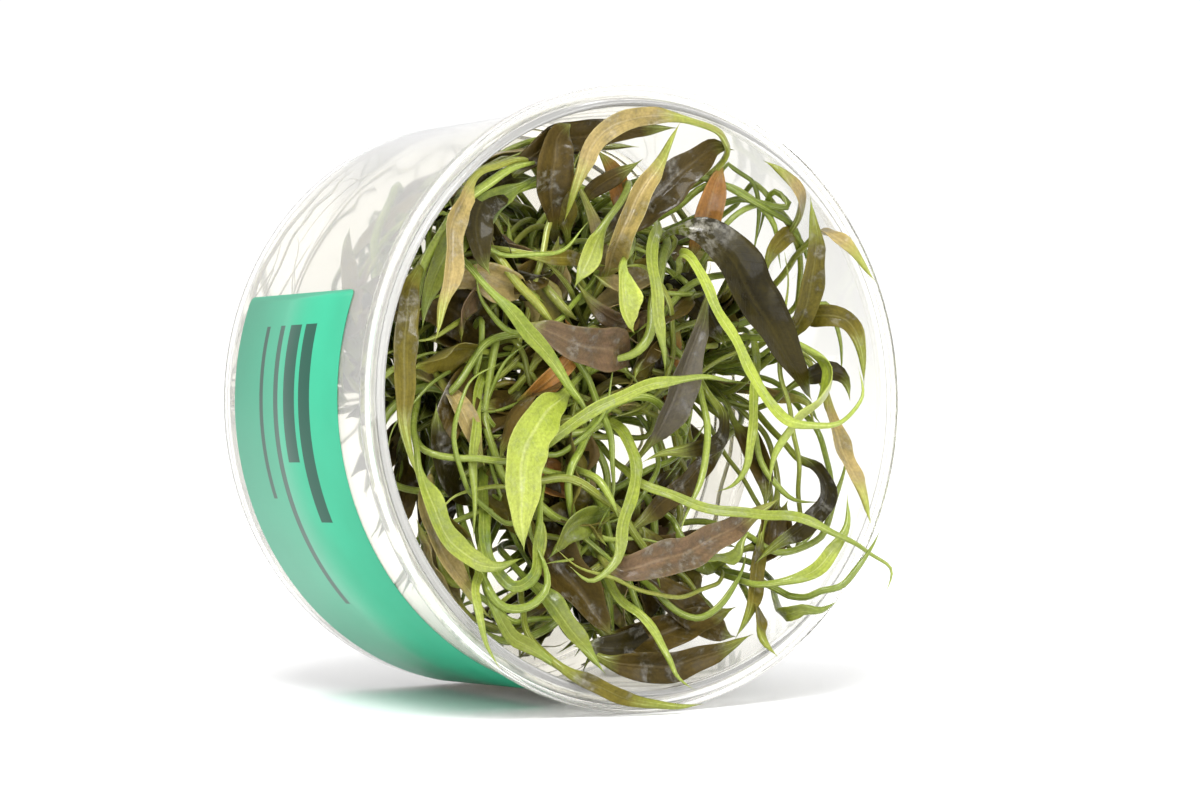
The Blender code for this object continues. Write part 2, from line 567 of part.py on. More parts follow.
def touching_pairs(rows):
    """Pairs of feelers on different leaves that the eye sees over each other."""
    tree = KDTree(len(rows))
    for k, row in enumerate(rows):
        tree.insert((row[3], row[4], 0.0), k)
    tree.balance()
    pairs = []
    for k, row in enumerate(rows):
        for _, other, distance in tree.find_range((row[3], row[4], 0.0), FEELER_RANGE):
            near = distance < row[7] + rows[other][7] + FEELER_SLACK
            if near and rows[other][0] > row[0]:
                pairs.append((k, other))
    return np.array(pairs)


def facet_radius(height):
    """Least inner radius of the cup's flat sides."""
    return inner_radius(height) * math.cos(math.pi / CUP_SIDES)


def depth_limits(leaf):
    """Least and greatest depth of each station, inside the wall or in front of the lip."""
    least = np.full(len(leaf.seen), leaf.nearest)
    most = np.full(len(leaf.seen), leaf.deepest)
    tries = np.arange(OVER_LIP, BEHIND_ALL, DEPTH_STEP)
    for k, (across, up, depth) in enumerate(leaf.seen):
        if leaf.over_lip[k]:
            most[k] = -(LIP_FRONT + leaf.thick[k])
            continue
        line = np.column_stack([np.full(len(tries), across), np.full(len(tries), up), tries])
        spots = behind_mouth(line)
        room = facet_radius(spots[:, 2]) - WALL_GAP - 0.5 * leaf.half[k]
        fits = tries[np.hypot(spots[:, 0], spots[:, 1]) < room]
        if len(fits):
            least[k] = max(leaf.nearest, fits.min()) if fits.min() > OVER_LIP else leaf.nearest
            most[k] = max(leaf.deepest, depth) if fits.max() > leaf.deepest else fits.max()
    least[:leaf.pinned] = leaf.seen[:leaf.pinned, 2]
    most[:leaf.pinned] = leaf.seen[:leaf.pinned, 2]
    return least, most


def bend(line):
    """How far each inner point lies from the middle of its neighbours."""
    out = np.zeros(len(line))
    out[1:-1] = 0.5 * (line[:-2] + line[2:]) - line[1:-1]
    return out


def settle(leaves):
    """Part the leaves along the eye's lines until each has its room, as they rest on each other.

    Returns how much room the worst pair of each leaf is still short of.
    """
    rows = feelers(leaves)
    pairs = touching_pairs(rows)
    loose = np.array([leaf.pinned < len(leaf.seen) for leaf in leaves])[rows[:, 0].astype(int)]
    pairs = pairs[loose[pairs].any(axis=1)]
    starts = np.cumsum([0] + [len(leaf.seen) for leaf in leaves])
    spans = [slice(low, high) for low, high in zip(starts, starts[1:])]
    depth = np.concatenate([leaf.seen[:, 2] for leaf in leaves])
    first = starts[rows[:, 0].astype(int)] + rows[:, 1].astype(int)
    share = rows[:, 2]
    offset = rows[:, 5] - (depth[first] * (1 - share) + depth[first + 1] * share)
    limits = [depth_limits(leaf) for leaf in leaves]
    least = np.concatenate([low for low, _ in limits])
    most = np.maximum(least, np.concatenate([high for _, high in limits]))
    a, b = pairs[:, 0], pairs[:, 1]
    need = rows[a, 6] + rows[b, 6] + LEAF_GAP
    home = depth.copy()
    for turn in range(SETTLE_ROUNDS):
        middle = depth[first] * (1 - share) + depth[first + 1] * share
        place = middle + offset
        sign = np.where(middle[b] >= middle[a], 1.0, -1.0)
        short = np.clip(need - sign * (place[b] - place[a]), 0, LARGEST_PUSH)
        push = np.zeros(len(depth))
        count = np.zeros(len(depth))
        for feeler, way in ((a, -1.0), (b, 1.0)):
            ends = ((first[feeler], 1 - share[feeler]), (first[feeler] + 1, share[feeler]))
            for station, weight in ends:
                force = weight * (short > 0)
                np.add.at(push, station, way * sign * short * force)
                np.add.at(count, station, force)
        pull = PULL if turn < SETTLE_ROUNDS // 2 else 0.0
        depth = depth + PUSH * push / np.maximum(count, 1.0) + pull * (home - depth)
        for span in spans:
            depth[span] += STIFFNESS * (bend(depth[span]) - bend(home[span]))
        depth = np.clip(depth, least, most)
    for leaf, span in zip(leaves, spans):
        leaf.seen[:, 2] = depth[span]
    worst = np.zeros(len(leaves))
    for feeler in (a, b):
        np.maximum.at(worst, rows[feeler, 0].astype(int), short)
    return worst


def keep_inside(leaf):
    """Centres of the stations, with those that the wall would cut pulled back inside it."""
    centre = behind_mouth(leaf.seen)
    for k, spot in enumerate(centre):
        if leaf.over_lip[k]:
            continue
        room = facet_radius(min(spot[2], CUP_DEPTH)) - WALL_GAP - leaf.half[k] * 0.9
        reach = math.hypot(spot[0], spot[1])
        if reach > room:
            centre[k, :2] *= room / reach
    return centre


def section(middle, wide, tall):
    """Six corners round one station: two edges, and a low roof and floor between them."""
    corners = ((-1.0, 0.0), (-0.45, 1.0), (0.45, 1.0), (1.0, 0.0), (0.45, -1.0), (-0.45, -1.0))
    return [Vector(middle + wide * u + tall * v) * MM for u, v in corners]


def skin_between(shape, low, high):
    """Band of four-sided faces from one ring of vertices to the next."""
    for k in range(len(low)):
        m = (k + 1) % len(low)
        shape.faces.new((low[k], low[m], high[m], high[k]))


def finish_loft(name, shape):
    bmesh.ops.recalc_face_normals(shape, faces=shape.faces)
    mesh = bpy.data.meshes.new(name)
    shape.to_mesh(mesh)
    shape.free()
    return mesh


def make_leaf(leaf, parts, carrier):
    """Loft from the foot through every station to the point of the tip."""
    centre = keep_inside(leaf)
    _, side, normal = leaf.frame()
    shape = bmesh.new()
    rings = []
    for k in range(len(centre) - 1):
        corners = section(centre[k], side[k] * leaf.half[k], normal[k] * leaf.thick[k])
        rings.append([shape.verts.new(corner) for corner in corners])
    for low, high in zip(rings, rings[1:]):
        skin_between(shape, low, high)
    shape.faces.new(rings[0][::-1])
    tip = shape.verts.new(Vector(centre[-1]) * MM)
    last = rings[-1]
    for k, corner in enumerate(last):
        shape.faces.new((corner, last[(k + 1) % len(last)], tip))
    mesh = finish_loft(leaf.name, shape)
    return add_part(leaf.name, mesh, parts, carrier, material(leaf.colour, 0.4))


def crown_levels():
    """Heights and radii of the crown's rings, from the gel to its blunt end."""
    low = GEL_TOP + CROWN_GAP
    return (
        (low, CROWN_FOOT_RADIUS),
        (low + CROWN_SHOULDERS[0], CROWN_FOOT_RADIUS + CROWN_WAIST),
        (CROWN_TOP - CROWN_SHOULDERS[1], CROWN_TOP_RADIUS),
        (CROWN_TOP - CROWN_SHOULDERS[2], CROWN_TOP_RADIUS),
        (CROWN_TOP, CROWN_TOP_RADIUS * CROWN_TIP),
    )


def crown_axis(foot, lean, height):
    """Middle of a crown at a height."""
    low = GEL_TOP + CROWN_GAP
    share = (height - low) / (CROWN_TOP - low)
    return np.array((foot[0] + lean[0] * share, foot[1] + lean[1] * share, height))


def golden(step, span):
    """The step's golden share of a range."""
    return span[0] + (span[1] - span[0]) * (step * GOLDEN % 1.0)


def spray_path(step, band, side, foot, lean):
    """Line of one small leaf, from the middle of its side of the crown to its tip."""
    turn = 2 * math.pi * (side + 0.5) / CROWN_SIDES
    out = np.array((math.cos(turn), math.sin(turn), 0.0))
    across = np.array((-out[1], out[0], 0.0))
    (low, inner), (high, outer) = crown_levels()[band:band + 2]
    start = crown_axis(foot, lean, (low + high) / 2) + out * (inner + outer) / 2
    sizes = SPRAY_BANDS[band]
    rise = golden(3 * step + 1, sizes["tip"]) - start[2]
    swirl = golden(2 * step + 1, SPRAY_SWIRL)
    reach = golden(step, sizes["reach"])
    room = sizes["half_width"][1] + SPRAY_ROOM
    while reach > SPRAY_SHORTEST:
        line = np.array([start + reach * (out * u + across * v * swirl) + (0, 0, rise * w)
                         for u, v, w in SPRAY_PATH])
        line[-1] -= (0, SPRAY_DROOP, SPRAY_DROOP)
        if (np.hypot(line[:, 0], line[:, 1]) < inner_radius(line[:, 2]) - room).all():
            return line
        reach *= SPRAY_SHRINK
    return None


def clear_of_crowns(leaf, own):
    """Whether a small leaf passes over or beside every crown but its own."""
    line = smooth_route(keep_inside(leaf))
    half = np.interp(np.linspace(0, 1, len(line)), np.linspace(0, 1, len(leaf.half)), leaf.half)
    heights, radii = np.array(crown_levels()).T
    for name, foot, lean in CROWNS:
        if name == own:
            continue
        for spot, wide in zip(line, half):
            axis = crown_axis(foot, lean, min(spot[2], CROWN_TOP))
            girth = np.interp(spot[2], heights, radii) * (1 + CROWN_LOBE)
            beside = math.hypot(*(spot - axis)[:2]) > girth + wide + CROWN_ROOM
            if not beside and spot[2] < CROWN_TOP + CROWN_ROOM + BLADE_THICK + PETIOLE:
                return False
    return True


def as_seen(line):
    """(across, up, depth) of points in the cup's frame."""
    scale = (CUP_DEPTH - EYE[2]) / (line[:, 2] - EYE[2])
    gate = EYE + (line - EYE) * scale[:, None]
    return np.column_stack([gate[:, :2], CUP_DEPTH - line[:, 2]])


def in_a_gap(leaf):
    """Whether the blade would be seen where the eye sees through the tangle."""
    seen = leaf.seen[len(leaf.seen) // 3:]
    wide = leaf.half[len(leaf.seen) // 3:]
    for across, up, half_width, half_height in SEEN_THROUGH:
        share = ((seen[:, 0] - across) / (half_width + 0.5 * wide)) ** 2
        share = share + ((seen[:, 1] - up) / (half_height + 0.5 * wide)) ** 2
        if (share < 1).any():
            return True
    return False


def grow_spray(step, share, band, side, crown):
    """One small leaf at a share of its width, or None where the wall is too near for it."""
    name, foot, lean = crown
    line = spray_path(step, band, side, foot, lean)
    if line is None:
        return None
    sizes = SPRAY_BANDS[band]
    half_width = share * golden(5 * step + 2, sizes["half_width"])
    tilt = golden(7 * step, SPRAY_LEAN)
    leaf = Leaf(name, "green", half_width, sizes["blade_start"], tilt, as_seen(line), SPRAY_STATIONS)
    leaf.pinned = SPRAY_PINNED
    leaf.nearest, leaf.deepest = sizes["depth"]
    return leaf


def grow_sprays(leaves):
    """Small leaves that find room between the large ones, by crown, band and side.

    Each turn gives every side that is still bare a slimmer try, and keeps what fits.
    """
    for leaf in leaves:
        leaf.pinned = len(leaf.seen)
    grown = {}
    step = 0
    for turn in range(SPRAY_TURNS):
        share = SPRAY_SLIMMER ** turn
        tries = {}
        for band in SPRAY_BANDS:
            for side in range(CROWN_SIDES):
                for crown in CROWNS:
                    step += 1
                    place = (crown[0], band, side)
                    if place in grown:
                        continue
                    leaf = grow_spray(step, share, band, side, crown)
                    if leaf and clear_of_crowns(leaf, crown[0]) and not in_a_gap(leaf):
                        tries[place] = leaf
        worst = settle(leaves + list(grown.values()) + list(tries.values()))
        for (place, leaf), short in zip(tries.items(), worst[-len(tries):]):
            if short < SPRAY_SQUEEZE and clear_of_crowns(leaf, place[0]):
                leaf.pinned = len(leaf.seen)
                grown[place] = leaf
    return grown


def add_spray(shape, root, leaf):
    """Loft of four-cornered sections out of one side of the crown to the small leaf's tip."""
    centre = keep_inside(leaf)
    _, side, normal = leaf.frame()
    corners = ((1.0, -1.0), (-1.0, -1.0), (-1.0, 1.0), (1.0, 1.0))
    last = root
    for k in range(1, len(centre)):
        wide = side[k] * leaf.half[k]
        tall = normal[k] * leaf.thick[k] * SPRAY_FLAT
        ring = [shape.verts.new(Vector(centre[k] + wide * u + tall * v) * MM) for u, v in corners]
        skin_between(shape, last, ring)
        last = ring
    shape.faces.new(last)


def make_crown(name, foot, lean, sprays, parts, carrier):
    """Plantlet on the gel: a lobed sheaf of petiole bases, with small leaves out of its sides."""
    shape = bmesh.new()
    rings = []
    for height, radius in crown_levels():
        middle = Vector(crown_axis(foot, lean, height))
        ring = []
        for k in range(CROWN_SIDES):
            turn = 2 * math.pi * k / CROWN_SIDES
            reach = radius * (1 + CROWN_LOBE * (-1) ** k)
            outward = Vector((math.cos(turn), math.sin(turn), 0.0))
            ring.append(shape.verts.new((middle + outward * reach) * MM))
        rings.append(ring)
    for band, (lower, upper) in enumerate(zip(rings, rings[1:])):
        for k in range(CROWN_SIDES):
            m = (k + 1) % CROWN_SIDES
            root = (lower[k], lower[m], upper[m], upper[k])
            if (name, band, k) in sprays:
                add_spray(shape, root, sprays[name, band, k])
            else:
                shape.faces.new(root)
    shape.faces.new(rings[0][::-1])
    shape.faces.new(rings[-1])
    mesh = finish_loft(name, shape)
    return add_part(name, mesh, parts, carrier, material("green", 0.45))


def lay_down(carrier, parts):
    """Turn the cup on its side, then bring the middle of its box, at the floor, to the origin."""
    tilt = math.atan2(FLANGE_RADIUS - BASE_RADIUS, CUP_DEPTH)
    carrier.rotation_euler = (math.pi / 2 - tilt, 0.0, 0.0)
    bpy.context.view_layer.update()
    graph = bpy.context.evaluated_depsgraph_get()
    corners = []
    for obj in parts.objects:
        if obj.type == "MESH":
            shown = obj.evaluated_get(graph)
            corners += [obj.matrix_world @ vert.co for vert in shown.data.vertices]
    low = [min(corner[k] for corner in corners) for k in range(3)]
    high = [max(corner[k] for corner in corners) for k in range(3)]
    carrier.location = (-(low[0] + high[0]) / 2, -(low[1] + high[1]) / 2, -low[2])


def main():
    clear_scene()
    parts = new_collection("tissue_culture_cup")
    carrier = bpy.data.objects.new("cup_axis", None)
    parts.objects.link(carrier)
    make_cup(parts, carrier)
    make_label(parts, carrier)
    make_gel(parts, carrier)
    leaves = [Leaf(*row) for row in LEAVES]
    settle(leaves)
    sprays = grow_sprays(leaves)
    for leaf in leaves:
        make_leaf(leaf, parts, carrier)
    for name, foot, lean in CROWNS:
        make_crown(name, foot, lean, sprays, parts, carrier)
    lay_down(carrier, parts)
    bpy.context.view_layer.update()


main()
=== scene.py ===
import json
import math
import random

import bmesh
import bpy
import numpy as np
from mathutils import Matrix, Vector


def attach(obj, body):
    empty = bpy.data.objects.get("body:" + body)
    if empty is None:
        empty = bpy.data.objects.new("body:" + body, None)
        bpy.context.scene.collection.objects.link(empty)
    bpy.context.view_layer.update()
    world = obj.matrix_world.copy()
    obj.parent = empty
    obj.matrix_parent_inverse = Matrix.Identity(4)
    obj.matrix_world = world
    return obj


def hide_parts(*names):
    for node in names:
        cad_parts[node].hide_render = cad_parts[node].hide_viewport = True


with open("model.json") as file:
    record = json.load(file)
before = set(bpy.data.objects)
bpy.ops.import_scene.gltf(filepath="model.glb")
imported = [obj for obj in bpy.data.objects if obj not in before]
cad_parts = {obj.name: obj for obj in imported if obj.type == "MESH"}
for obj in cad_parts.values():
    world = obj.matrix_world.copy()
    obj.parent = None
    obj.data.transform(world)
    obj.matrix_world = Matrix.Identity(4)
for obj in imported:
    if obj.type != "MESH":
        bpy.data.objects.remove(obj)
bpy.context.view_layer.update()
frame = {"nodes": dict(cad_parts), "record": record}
slotOf = {row["node"]: row["material_slot"] for row in frame["record"]["subparts"]}
print("frame: %d nodes" % len(frame["nodes"]))

# The cup's own frame has millimetres, its axis on +Z, the base at 0 and the mouth at 54.7.
# cupPlace lays it down in the row frame, as the solids lie.
cup = {
    "depth": 54.7, "baseRadius": 46.2, "lipRadius": 47.6, "wall": 1.05,
    "sides": 40,             # flats of the solid, which the smooth cup stays inside
    "floorThick": 1.25, "floorRound": 1.6, "baseRound": 1.6,
    "flangeRadius": 50.0, "flangeThick": 0.85, "skirtDrop": 2.2,
    "lipRise": 0.4, "origin": (0.0, 0.02935023, 0.04608763), "turnSteps": 180,
    "reflectionVeiled": (5.0, 51.0),  # heights between which the wall is veiled, milky on its left as a painted reflection
    "plastics": (            # name, how clear it is (1 for clear), roughness, how clear on its left
        ("clear moulded polypropylene", 0.97, 0.03, None),
        ("scuffed moulded polypropylene", 0.97, 0.05, 0.82),
        # the lip bead is made milky, painted light that brightens its ring
        ("milky lip bead polypropylene, painted light", 0.76, 0.12, None),
    ),
    "milkyAcross": (-0.044, -0.012),      # from the milky left of the wall, a painted reflection, to the clear rest, in m
}
flatShare = math.cos(math.pi / cup["sides"])
tilt = math.atan2(cup["flangeRadius"] - cup["baseRadius"], cup["depth"])
cupPlace = (Matrix.Translation(cup["origin"]) @ Matrix.Rotation(math.pi / 2 - tilt, 4, "X")
            @ Matrix.Scale(0.001, 4))
cupBack = cupPlace.inverted()
turnToRow = np.array(cupPlace.to_3x3())
moveToRow = np.array(cupPlace.translation)
eye = np.array((-516.0, 4.0, 882.0))     # where the photograph's camera stands, in the cup's frame


def linear(hexColour):
    # sRGB hex to linear RGBA
    parts = [int(hexColour[k:k + 2], 16) / 255 for k in (1, 3, 5)]
    return tuple(c / 12.92 if c <= 0.04045 else ((c + 0.055) / 1.055) ** 2.4 for c in parts) + (1.0,)


def addNode(tree, kind, settings):
    # a shader node with its settings; a socket among them feeds the input of that name or number
    node = tree.nodes.new("ShaderNode" + kind)
    for key, value in settings.items():
        if isinstance(value, bpy.types.NodeSocket):
            tree.links.new(value, node.inputs[key])
        elif isinstance(key, int) or key in node.inputs:
            node.inputs[key].default_value = value
        else:
            setattr(node, key, value)
    return node


def newMaterial(name, settings):
    material = bpy.data.materials.new(name)
    material.use_nodes = True
    shader = material.node_tree.nodes["Principled BSDF"]
    for key, value in settings.items():
        shader.inputs[key].default_value = value
    return material, material.node_tree, shader


def addPiece(name, mesh, materials, nodes):
    for material in materials:
        mesh.materials.append(material)
    piece = bpy.data.objects.new(name, mesh)
    bpy.context.scene.collection.objects.link(piece)
    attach(piece, "root")
    if nodes:
        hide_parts(*nodes)
    return piece


def meshOf(name, shape):
    mesh = bpy.data.meshes.new(name)
    shape.to_mesh(mesh)
    shape.free()
    mesh.shade_smooth()
    return mesh


def finishMesh(name, shape):
    # from the cup's frame to the row frame, with corners of more than 30 degrees left sharp
    bmesh.ops.transform(shape, matrix=cupPlace, verts=shape.verts)
    mesh = meshOf(name, shape)
    mesh.set_sharp_from_angle(angle=math.radians(30))
    return mesh


def solidOf(node):
    # a solid's corners and edges in the cup's frame
    shape = bmesh.new()
    shape.from_mesh(frame["nodes"][node].data)
    bmesh.ops.remove_doubles(shape, verts=shape.verts, dist=1e-6)
    bmesh.ops.transform(shape, matrix=cupBack, verts=shape.verts)
    shape.verts.index_update()
    return shape


# cup
def wallRadius(height):
    share = height / cup["depth"]
    return (cup["baseRadius"] + (cup["lipRadius"] - cup["baseRadius"]) * share) * flatShare


def innerRadius(height):
    return wallRadius(height) - cup["wall"]


def arcPoints(centre, radius, first, last, count):
    # points on an arc in the half section, angles in degrees from outward toward the mouth
    out = []
    for k in range(count + 1):
        turn = math.radians(first + (last - first) * k / count)
        out.append((centre[0] + radius * math.cos(turn), centre[1] + radius * math.sin(turn)))
    return out


def spinProfile(points, steps):
    # turned shell: the half section starts and ends on the axis
    shape = bmesh.new()
    line = [shape.verts.new((r, 0.0, z)) for r, z in points]
    edges = [shape.edges.new(pair) for pair in zip(line, line[1:])]
    bmesh.ops.spin(shape, geom=line + edges, cent=(0, 0, 0), axis=(0, 0, 1), angle=2 * math.pi,
                   steps=steps, use_merge=True)
    bmesh.ops.remove_doubles(shape, verts=shape.verts, dist=0.001)
    bmesh.ops.recalc_face_normals(shape, faces=shape.faces)
    return shape


def cupProfile():
    depth = cup["depth"]
    base = cup["baseRadius"] * flatShare
    lip = cup["lipRadius"] * flatShare
    outer = cup["flangeRadius"] * flatShare
    rounding = cup["baseRound"]
    under = depth - cup["flangeThick"]
    skirt = depth - cup["skirtDrop"]
    points = [(0.0, 0.5), (base - 6.0, 0.5), (base - 4.6, 0.0)]
    points += arcPoints((base - rounding, rounding), rounding, -90, 0, 6)
    points += [(wallRadius(under - 0.5), under - 0.5), (wallRadius(under) + 0.25, under - 0.1)]
    points += [(wallRadius(under) + 0.6, under), (outer - 1.3, under)]
    points += arcPoints((outer - 1.3, under - 0.4), 0.4, 90, 0, 3)
    points += [(outer - 0.9, skirt + 0.1), (outer - 0.75, skirt)]
    points += arcPoints((outer - 0.35, skirt + 0.35), 0.35, -90, 0, 3)
    points += arcPoints((outer - 0.5, depth - 0.5), 0.5, 0, 90, 4)
    points += [(lip + 0.7, depth), (lip + 0.45, depth + 0.12)]
    points += arcPoints((lip - 0.52, depth + cup["lipRise"] - 0.55), 0.55, 40, 175, 7)
    points += [(innerRadius(depth - 1.5), depth - 1.5)]
    floor = cup["floorThick"]
    corner = cup["floorRound"]
    points += arcPoints((innerRadius(floor + corner) - corner, floor + corner), corner, 0, -90, 6)
    points += [(0.0, floor)]
    return points


def mouldedPlastic(name, clearShare, roughness, milky):
    # injection moulded polypropylene; milky is how clear it is on its left, where the wall is made milky as a
    # painted reflection
    material, tree, shader = newMaterial(name, {
        "Base Color": linear("#fdfcf8"), "IOR": 1.49, "Transmission Weight": clearShare,
        "Roughness": roughness,
    })
    if milky:
        left, right = cup["milkyAcross"]
        spot = addNode(tree, "TexCoord", {})
        place = addNode(tree, "SeparateXYZ", {"Vector": spot.outputs["Object"]})
        clear = addNode(tree, "MapRange", {
            "Value": place.outputs["X"], "From Min": left, "From Max": right, "To Min": milky,
            "To Max": clearShare,
        })
        tree.links.new(clear.outputs[0], shader.inputs["Transmission Weight"])
    return material


def makeCup():
    shape = spinProfile(cupProfile(), cup["turnSteps"])
    low, high = cup["reflectionVeiled"]
    for face in shape.faces:
        spot = face.calc_center_median()
        # the wall between these heights is milky on its left, a painted reflection
        wall = low < spot.z < high and spot.xy.length > cup["baseRadius"] - 3
        # the lip bead, made milky as painted light
        bead = spot.z > high and spot.xy.length < cup["lipRadius"] + 0.4
        face.material_index = 1 if wall else 2 if bead else 0
    mesh = finishMesh("cup_moulded", shape)
    plastics = [mouldedPlastic(*row) for row in cup["plastics"]]
    addPiece("cup_moulded", mesh, plastics, ["cup"])
    print("cup: %d faces" % len(mesh.polygons))


# gel
gel = {
    "top": 17.5, "gap": 0.03, "turnSteps": 120, "tint": "#fdfaf1",
    "meniscus": 0.9, "meniscusWide": 0.6,       # how high the rim of the gel climbs, and how fast it drops
    "meniscusSteps": (0.12, 0.4, 1.0, 2.0),
}


def makeGel():
    floor, corner, top = cup["floorThick"], cup["floorRound"], gel["top"]
    middle = innerRadius(floor + corner) - corner
    points = [(0.0, floor + gel["gap"])]
    points += arcPoints((middle, floor + corner), corner - gel["gap"], -90, 0, 5)
    points += [(innerRadius(top + gel["meniscus"]) - gel["gap"], top + gel["meniscus"])]
    for step in gel["meniscusSteps"]:
        rise = gel["meniscus"] * math.exp(-step / gel["meniscusWide"])
        points.append((innerRadius(top) - step, top + rise))
    points.append((0.0, top))
    mesh = finishMesh("nutrient_gel_clear", spinProfile(points, gel["turnSteps"]))
    # set agar gel: mostly water, a trace of yellow
    material, _, _ = newMaterial("clear agar gel", {
        "Base Color": linear(gel["tint"]), "IOR": 1.34, "Transmission Weight": 1.0, "Roughness": 0.03,
    })
    addPiece("nutrient_gel_clear", mesh, [material], ["nutrient_gel"])
    print("gel: %d faces" % len(mesh.polygons))


# label
label = {
    "nearBase": 5.6, "nearLip": 41.0, "start": 66.5, "end": 168.0,
    "corner": 1.1, "lift": 0.05, "thick": 0.14, "stepDegrees": 1.5,
    "teal": "#31ad86", "tealDeep": "#289d78", "ink": "#0d4a3a",
    "cloud": 0.010, "grain": 0.0006,      # size in metres of the uneven tint and of the skin's grain
}


def makeLabel():
    # a flat sheet in millimetres with rounded corners, cut into strips, then rolled on to the wall
    middle = (label["nearBase"] + label["nearLip"]) / 2
    radius = wallRadius(middle)
    long = math.radians(label["end"] - label["start"]) * radius
    tall = label["nearLip"] - label["nearBase"]
    shape = bmesh.new()
    bmesh.ops.create_grid(shape, x_segments=1, y_segments=1, size=0.5)
    bmesh.ops.scale(shape, vec=(long, tall, 1.0), verts=shape.verts)
    bmesh.ops.bevel(shape, geom=shape.verts[:], offset=label["corner"], offset_type="OFFSET", segments=6,
                    profile=0.5, affect="VERTICES", material=-1)
    strips = int((label["end"] - label["start"]) / label["stepDegrees"])
    for k in range(1, strips):
        cut = long * (k / strips - 0.5)
        bmesh.ops.bisect_plane(shape, geom=shape.verts[:] + shape.edges[:] + shape.faces[:],
                               plane_co=(cut, 0, 0), plane_no=(1, 0, 0))
    layer = shape.loops.layers.uv.new("sheet")
    for face in shape.faces:
        for loop in face.loops:
            loop[layer].uv = (loop.vert.co.x / 10, loop.vert.co.y / 10)     # one unit is 10 mm
    for vert in shape.verts:
        share = vert.co.x / long + 0.5
        turn = math.radians(label["start"] + (label["end"] - label["start"]) * share)
        height = middle + vert.co.y
        reach = wallRadius(height) + label["lift"]
        vert.co = Vector((-reach * math.sin(turn), reach * math.cos(turn), height))
    shape.normal_update()
    shape.faces.ensure_lookup_table()
    outward = Vector((*shape.faces[0].calc_center_median().xy, 0.0))
    if shape.faces[0].normal.dot(outward) < 0:
        bmesh.ops.reverse_faces(shape, faces=shape.faces)
    mesh = finishMesh("label_sheet", shape)
    piece = addPiece("label_sheet", mesh, [labelVinyl()], ["label"])
    skin = piece.modifiers.new("sheet thickness", "SOLIDIFY")
    skin.thickness = label["thick"] * 0.001
    skin.offset = 1.0
    print("label: %d faces" % len(mesh.polygons))


def labelVinyl():
    # printed vinyl sticker: flat teal ink under a satin laminate
    material, tree, shader = newMaterial("printed vinyl sticker", {
        "Base Color": linear(label["teal"]), "Roughness": 0.38, "Coat Weight": 0.15, "Coat Roughness": 0.25,
    })
    sheet = addNode(tree, "UVMap", {"uv_map": "sheet"})
    spot = addNode(tree, "TexCoord", {}).outputs["Object"]
    cloudy = addNode(tree, "TexNoise", {"Vector": spot, "Scale": 1 / label["cloud"], "Detail": 3.0})
    tone = addNode(tree, "Mix", {
        "data_type": "RGBA", 0: cloudy.outputs["Fac"], 6: linear(label["teal"]), 7: linear(label["tealDeep"]),
    })
    inked = addNode(tree, "Mix", {
        "data_type": "RGBA", 0: inkBars(tree, sheet.outputs["UV"]), 6: tone.outputs[2],
        7: linear(label["ink"]),
    })
    tree.links.new(inked.outputs[2], shader.inputs["Base Color"])
    fine = addNode(tree, "TexNoise", {"Vector": spot, "Scale": 1 / label["grain"], "Detail": 2.0})
    bump = addNode(tree, "Bump", {
        "Height": fine.outputs["Fac"], "Strength": 0.05, "Distance": 0.0001,
    })
    tree.links.new(bump.outputs["Normal"], shader.inputs["Normal"])
    return material


# plain bars of ink in place of print: start and end along the sheet, place across it, half height, in mm
labelBars = [
    (-36.0, -4.0, 6.4, 1.9), (-36.0, -14.0, 1.2, 1.9), (-36.0, 12.0, -3.4, 0.75), (-36.0, -8.0, -8.4, 0.6),
]


def inkBars(tree, uv):
    # 1 on a bar and 0 elsewhere
    parts = addNode(tree, "SeparateXYZ", {"Vector": uv}).outputs
    total = 0.0
    for start, end, place, halfHigh in labelBars:
        bar = 1.0
        for axis, middle, reach in (("X", (start + end) / 2, (end - start) / 2), ("Y", place, halfHigh)):
            within = addNode(tree, "Math", {
                "operation": "COMPARE", 0: parts[axis], 1: middle / 10, 2: reach / 10,
            })
            bar = addNode(tree, "Math", {
                "operation": "MULTIPLY", 0: bar, 1: within.outputs[0],
            }).outputs[0]
        total = addNode(tree, "Math", {"operation": "MAXIMUM", 0: total, 1: bar}).outputs[0]
    return total


# lines that leaves grow along
def unit(vectors):
    return vectors / np.maximum(np.linalg.norm(vectors, axis=-1, keepdims=True), 1e-9)


def smoothLine(rows, steps=10):
    # Catmull-Rom curve through the rows
    knots = np.array(rows, float)
    padded = np.vstack([2 * knots[0] - knots[1], knots, 2 * knots[-1] - knots[-2]])
    t = np.linspace(0, 1, steps, endpoint=False)[:, None]
    fine = []
    for k in range(len(knots) - 1):
        a, b, c, d = padded[k:k + 4]
        fine.append(0.5 * (2 * b + (c - a) * t + (2 * a - 5 * b + 4 * c - d) * t ** 2
                           + (3 * b - a - 3 * c + d) * t ** 3))
    return np.vstack(fine + [knots[-1:]])


def evenly(rows, count):
    # rows at even distances along the line that their first three columns draw
    run = np.concatenate([[0], np.cumsum(np.linalg.norm(np.diff(rows[:, :3], axis=0), axis=1))])
    stops = np.linspace(0, run[-1], count)
    return np.column_stack([np.interp(stops, run, rows[:, k]) for k in range(rows.shape[1])])


def behindMouth(seen):
    # (across, up, depth) to the cup's frame, along the eye's line through the mouth
    seen = np.atleast_2d(seen).astype(float)
    gate = np.column_stack([seen[:, 0], seen[:, 1], np.full(len(seen), cup["depth"])])
    ray = gate - eye
    return gate + ray * (seen[:, 2] / -ray[:, 2])[:, None]


def ringLayers(start):
    # vertices by their distance in edges from the tip
    layers = [[start]]
    seen = {start}
    while layers[-1]:
        following = []
        for vert in layers[-1]:
            for edge in vert.link_edges:
                other = edge.other_vert(vert)
                if other not in seen:
                    seen.add(other)
                    following.append(other)
        layers.append(following)
    return layers[:-1]


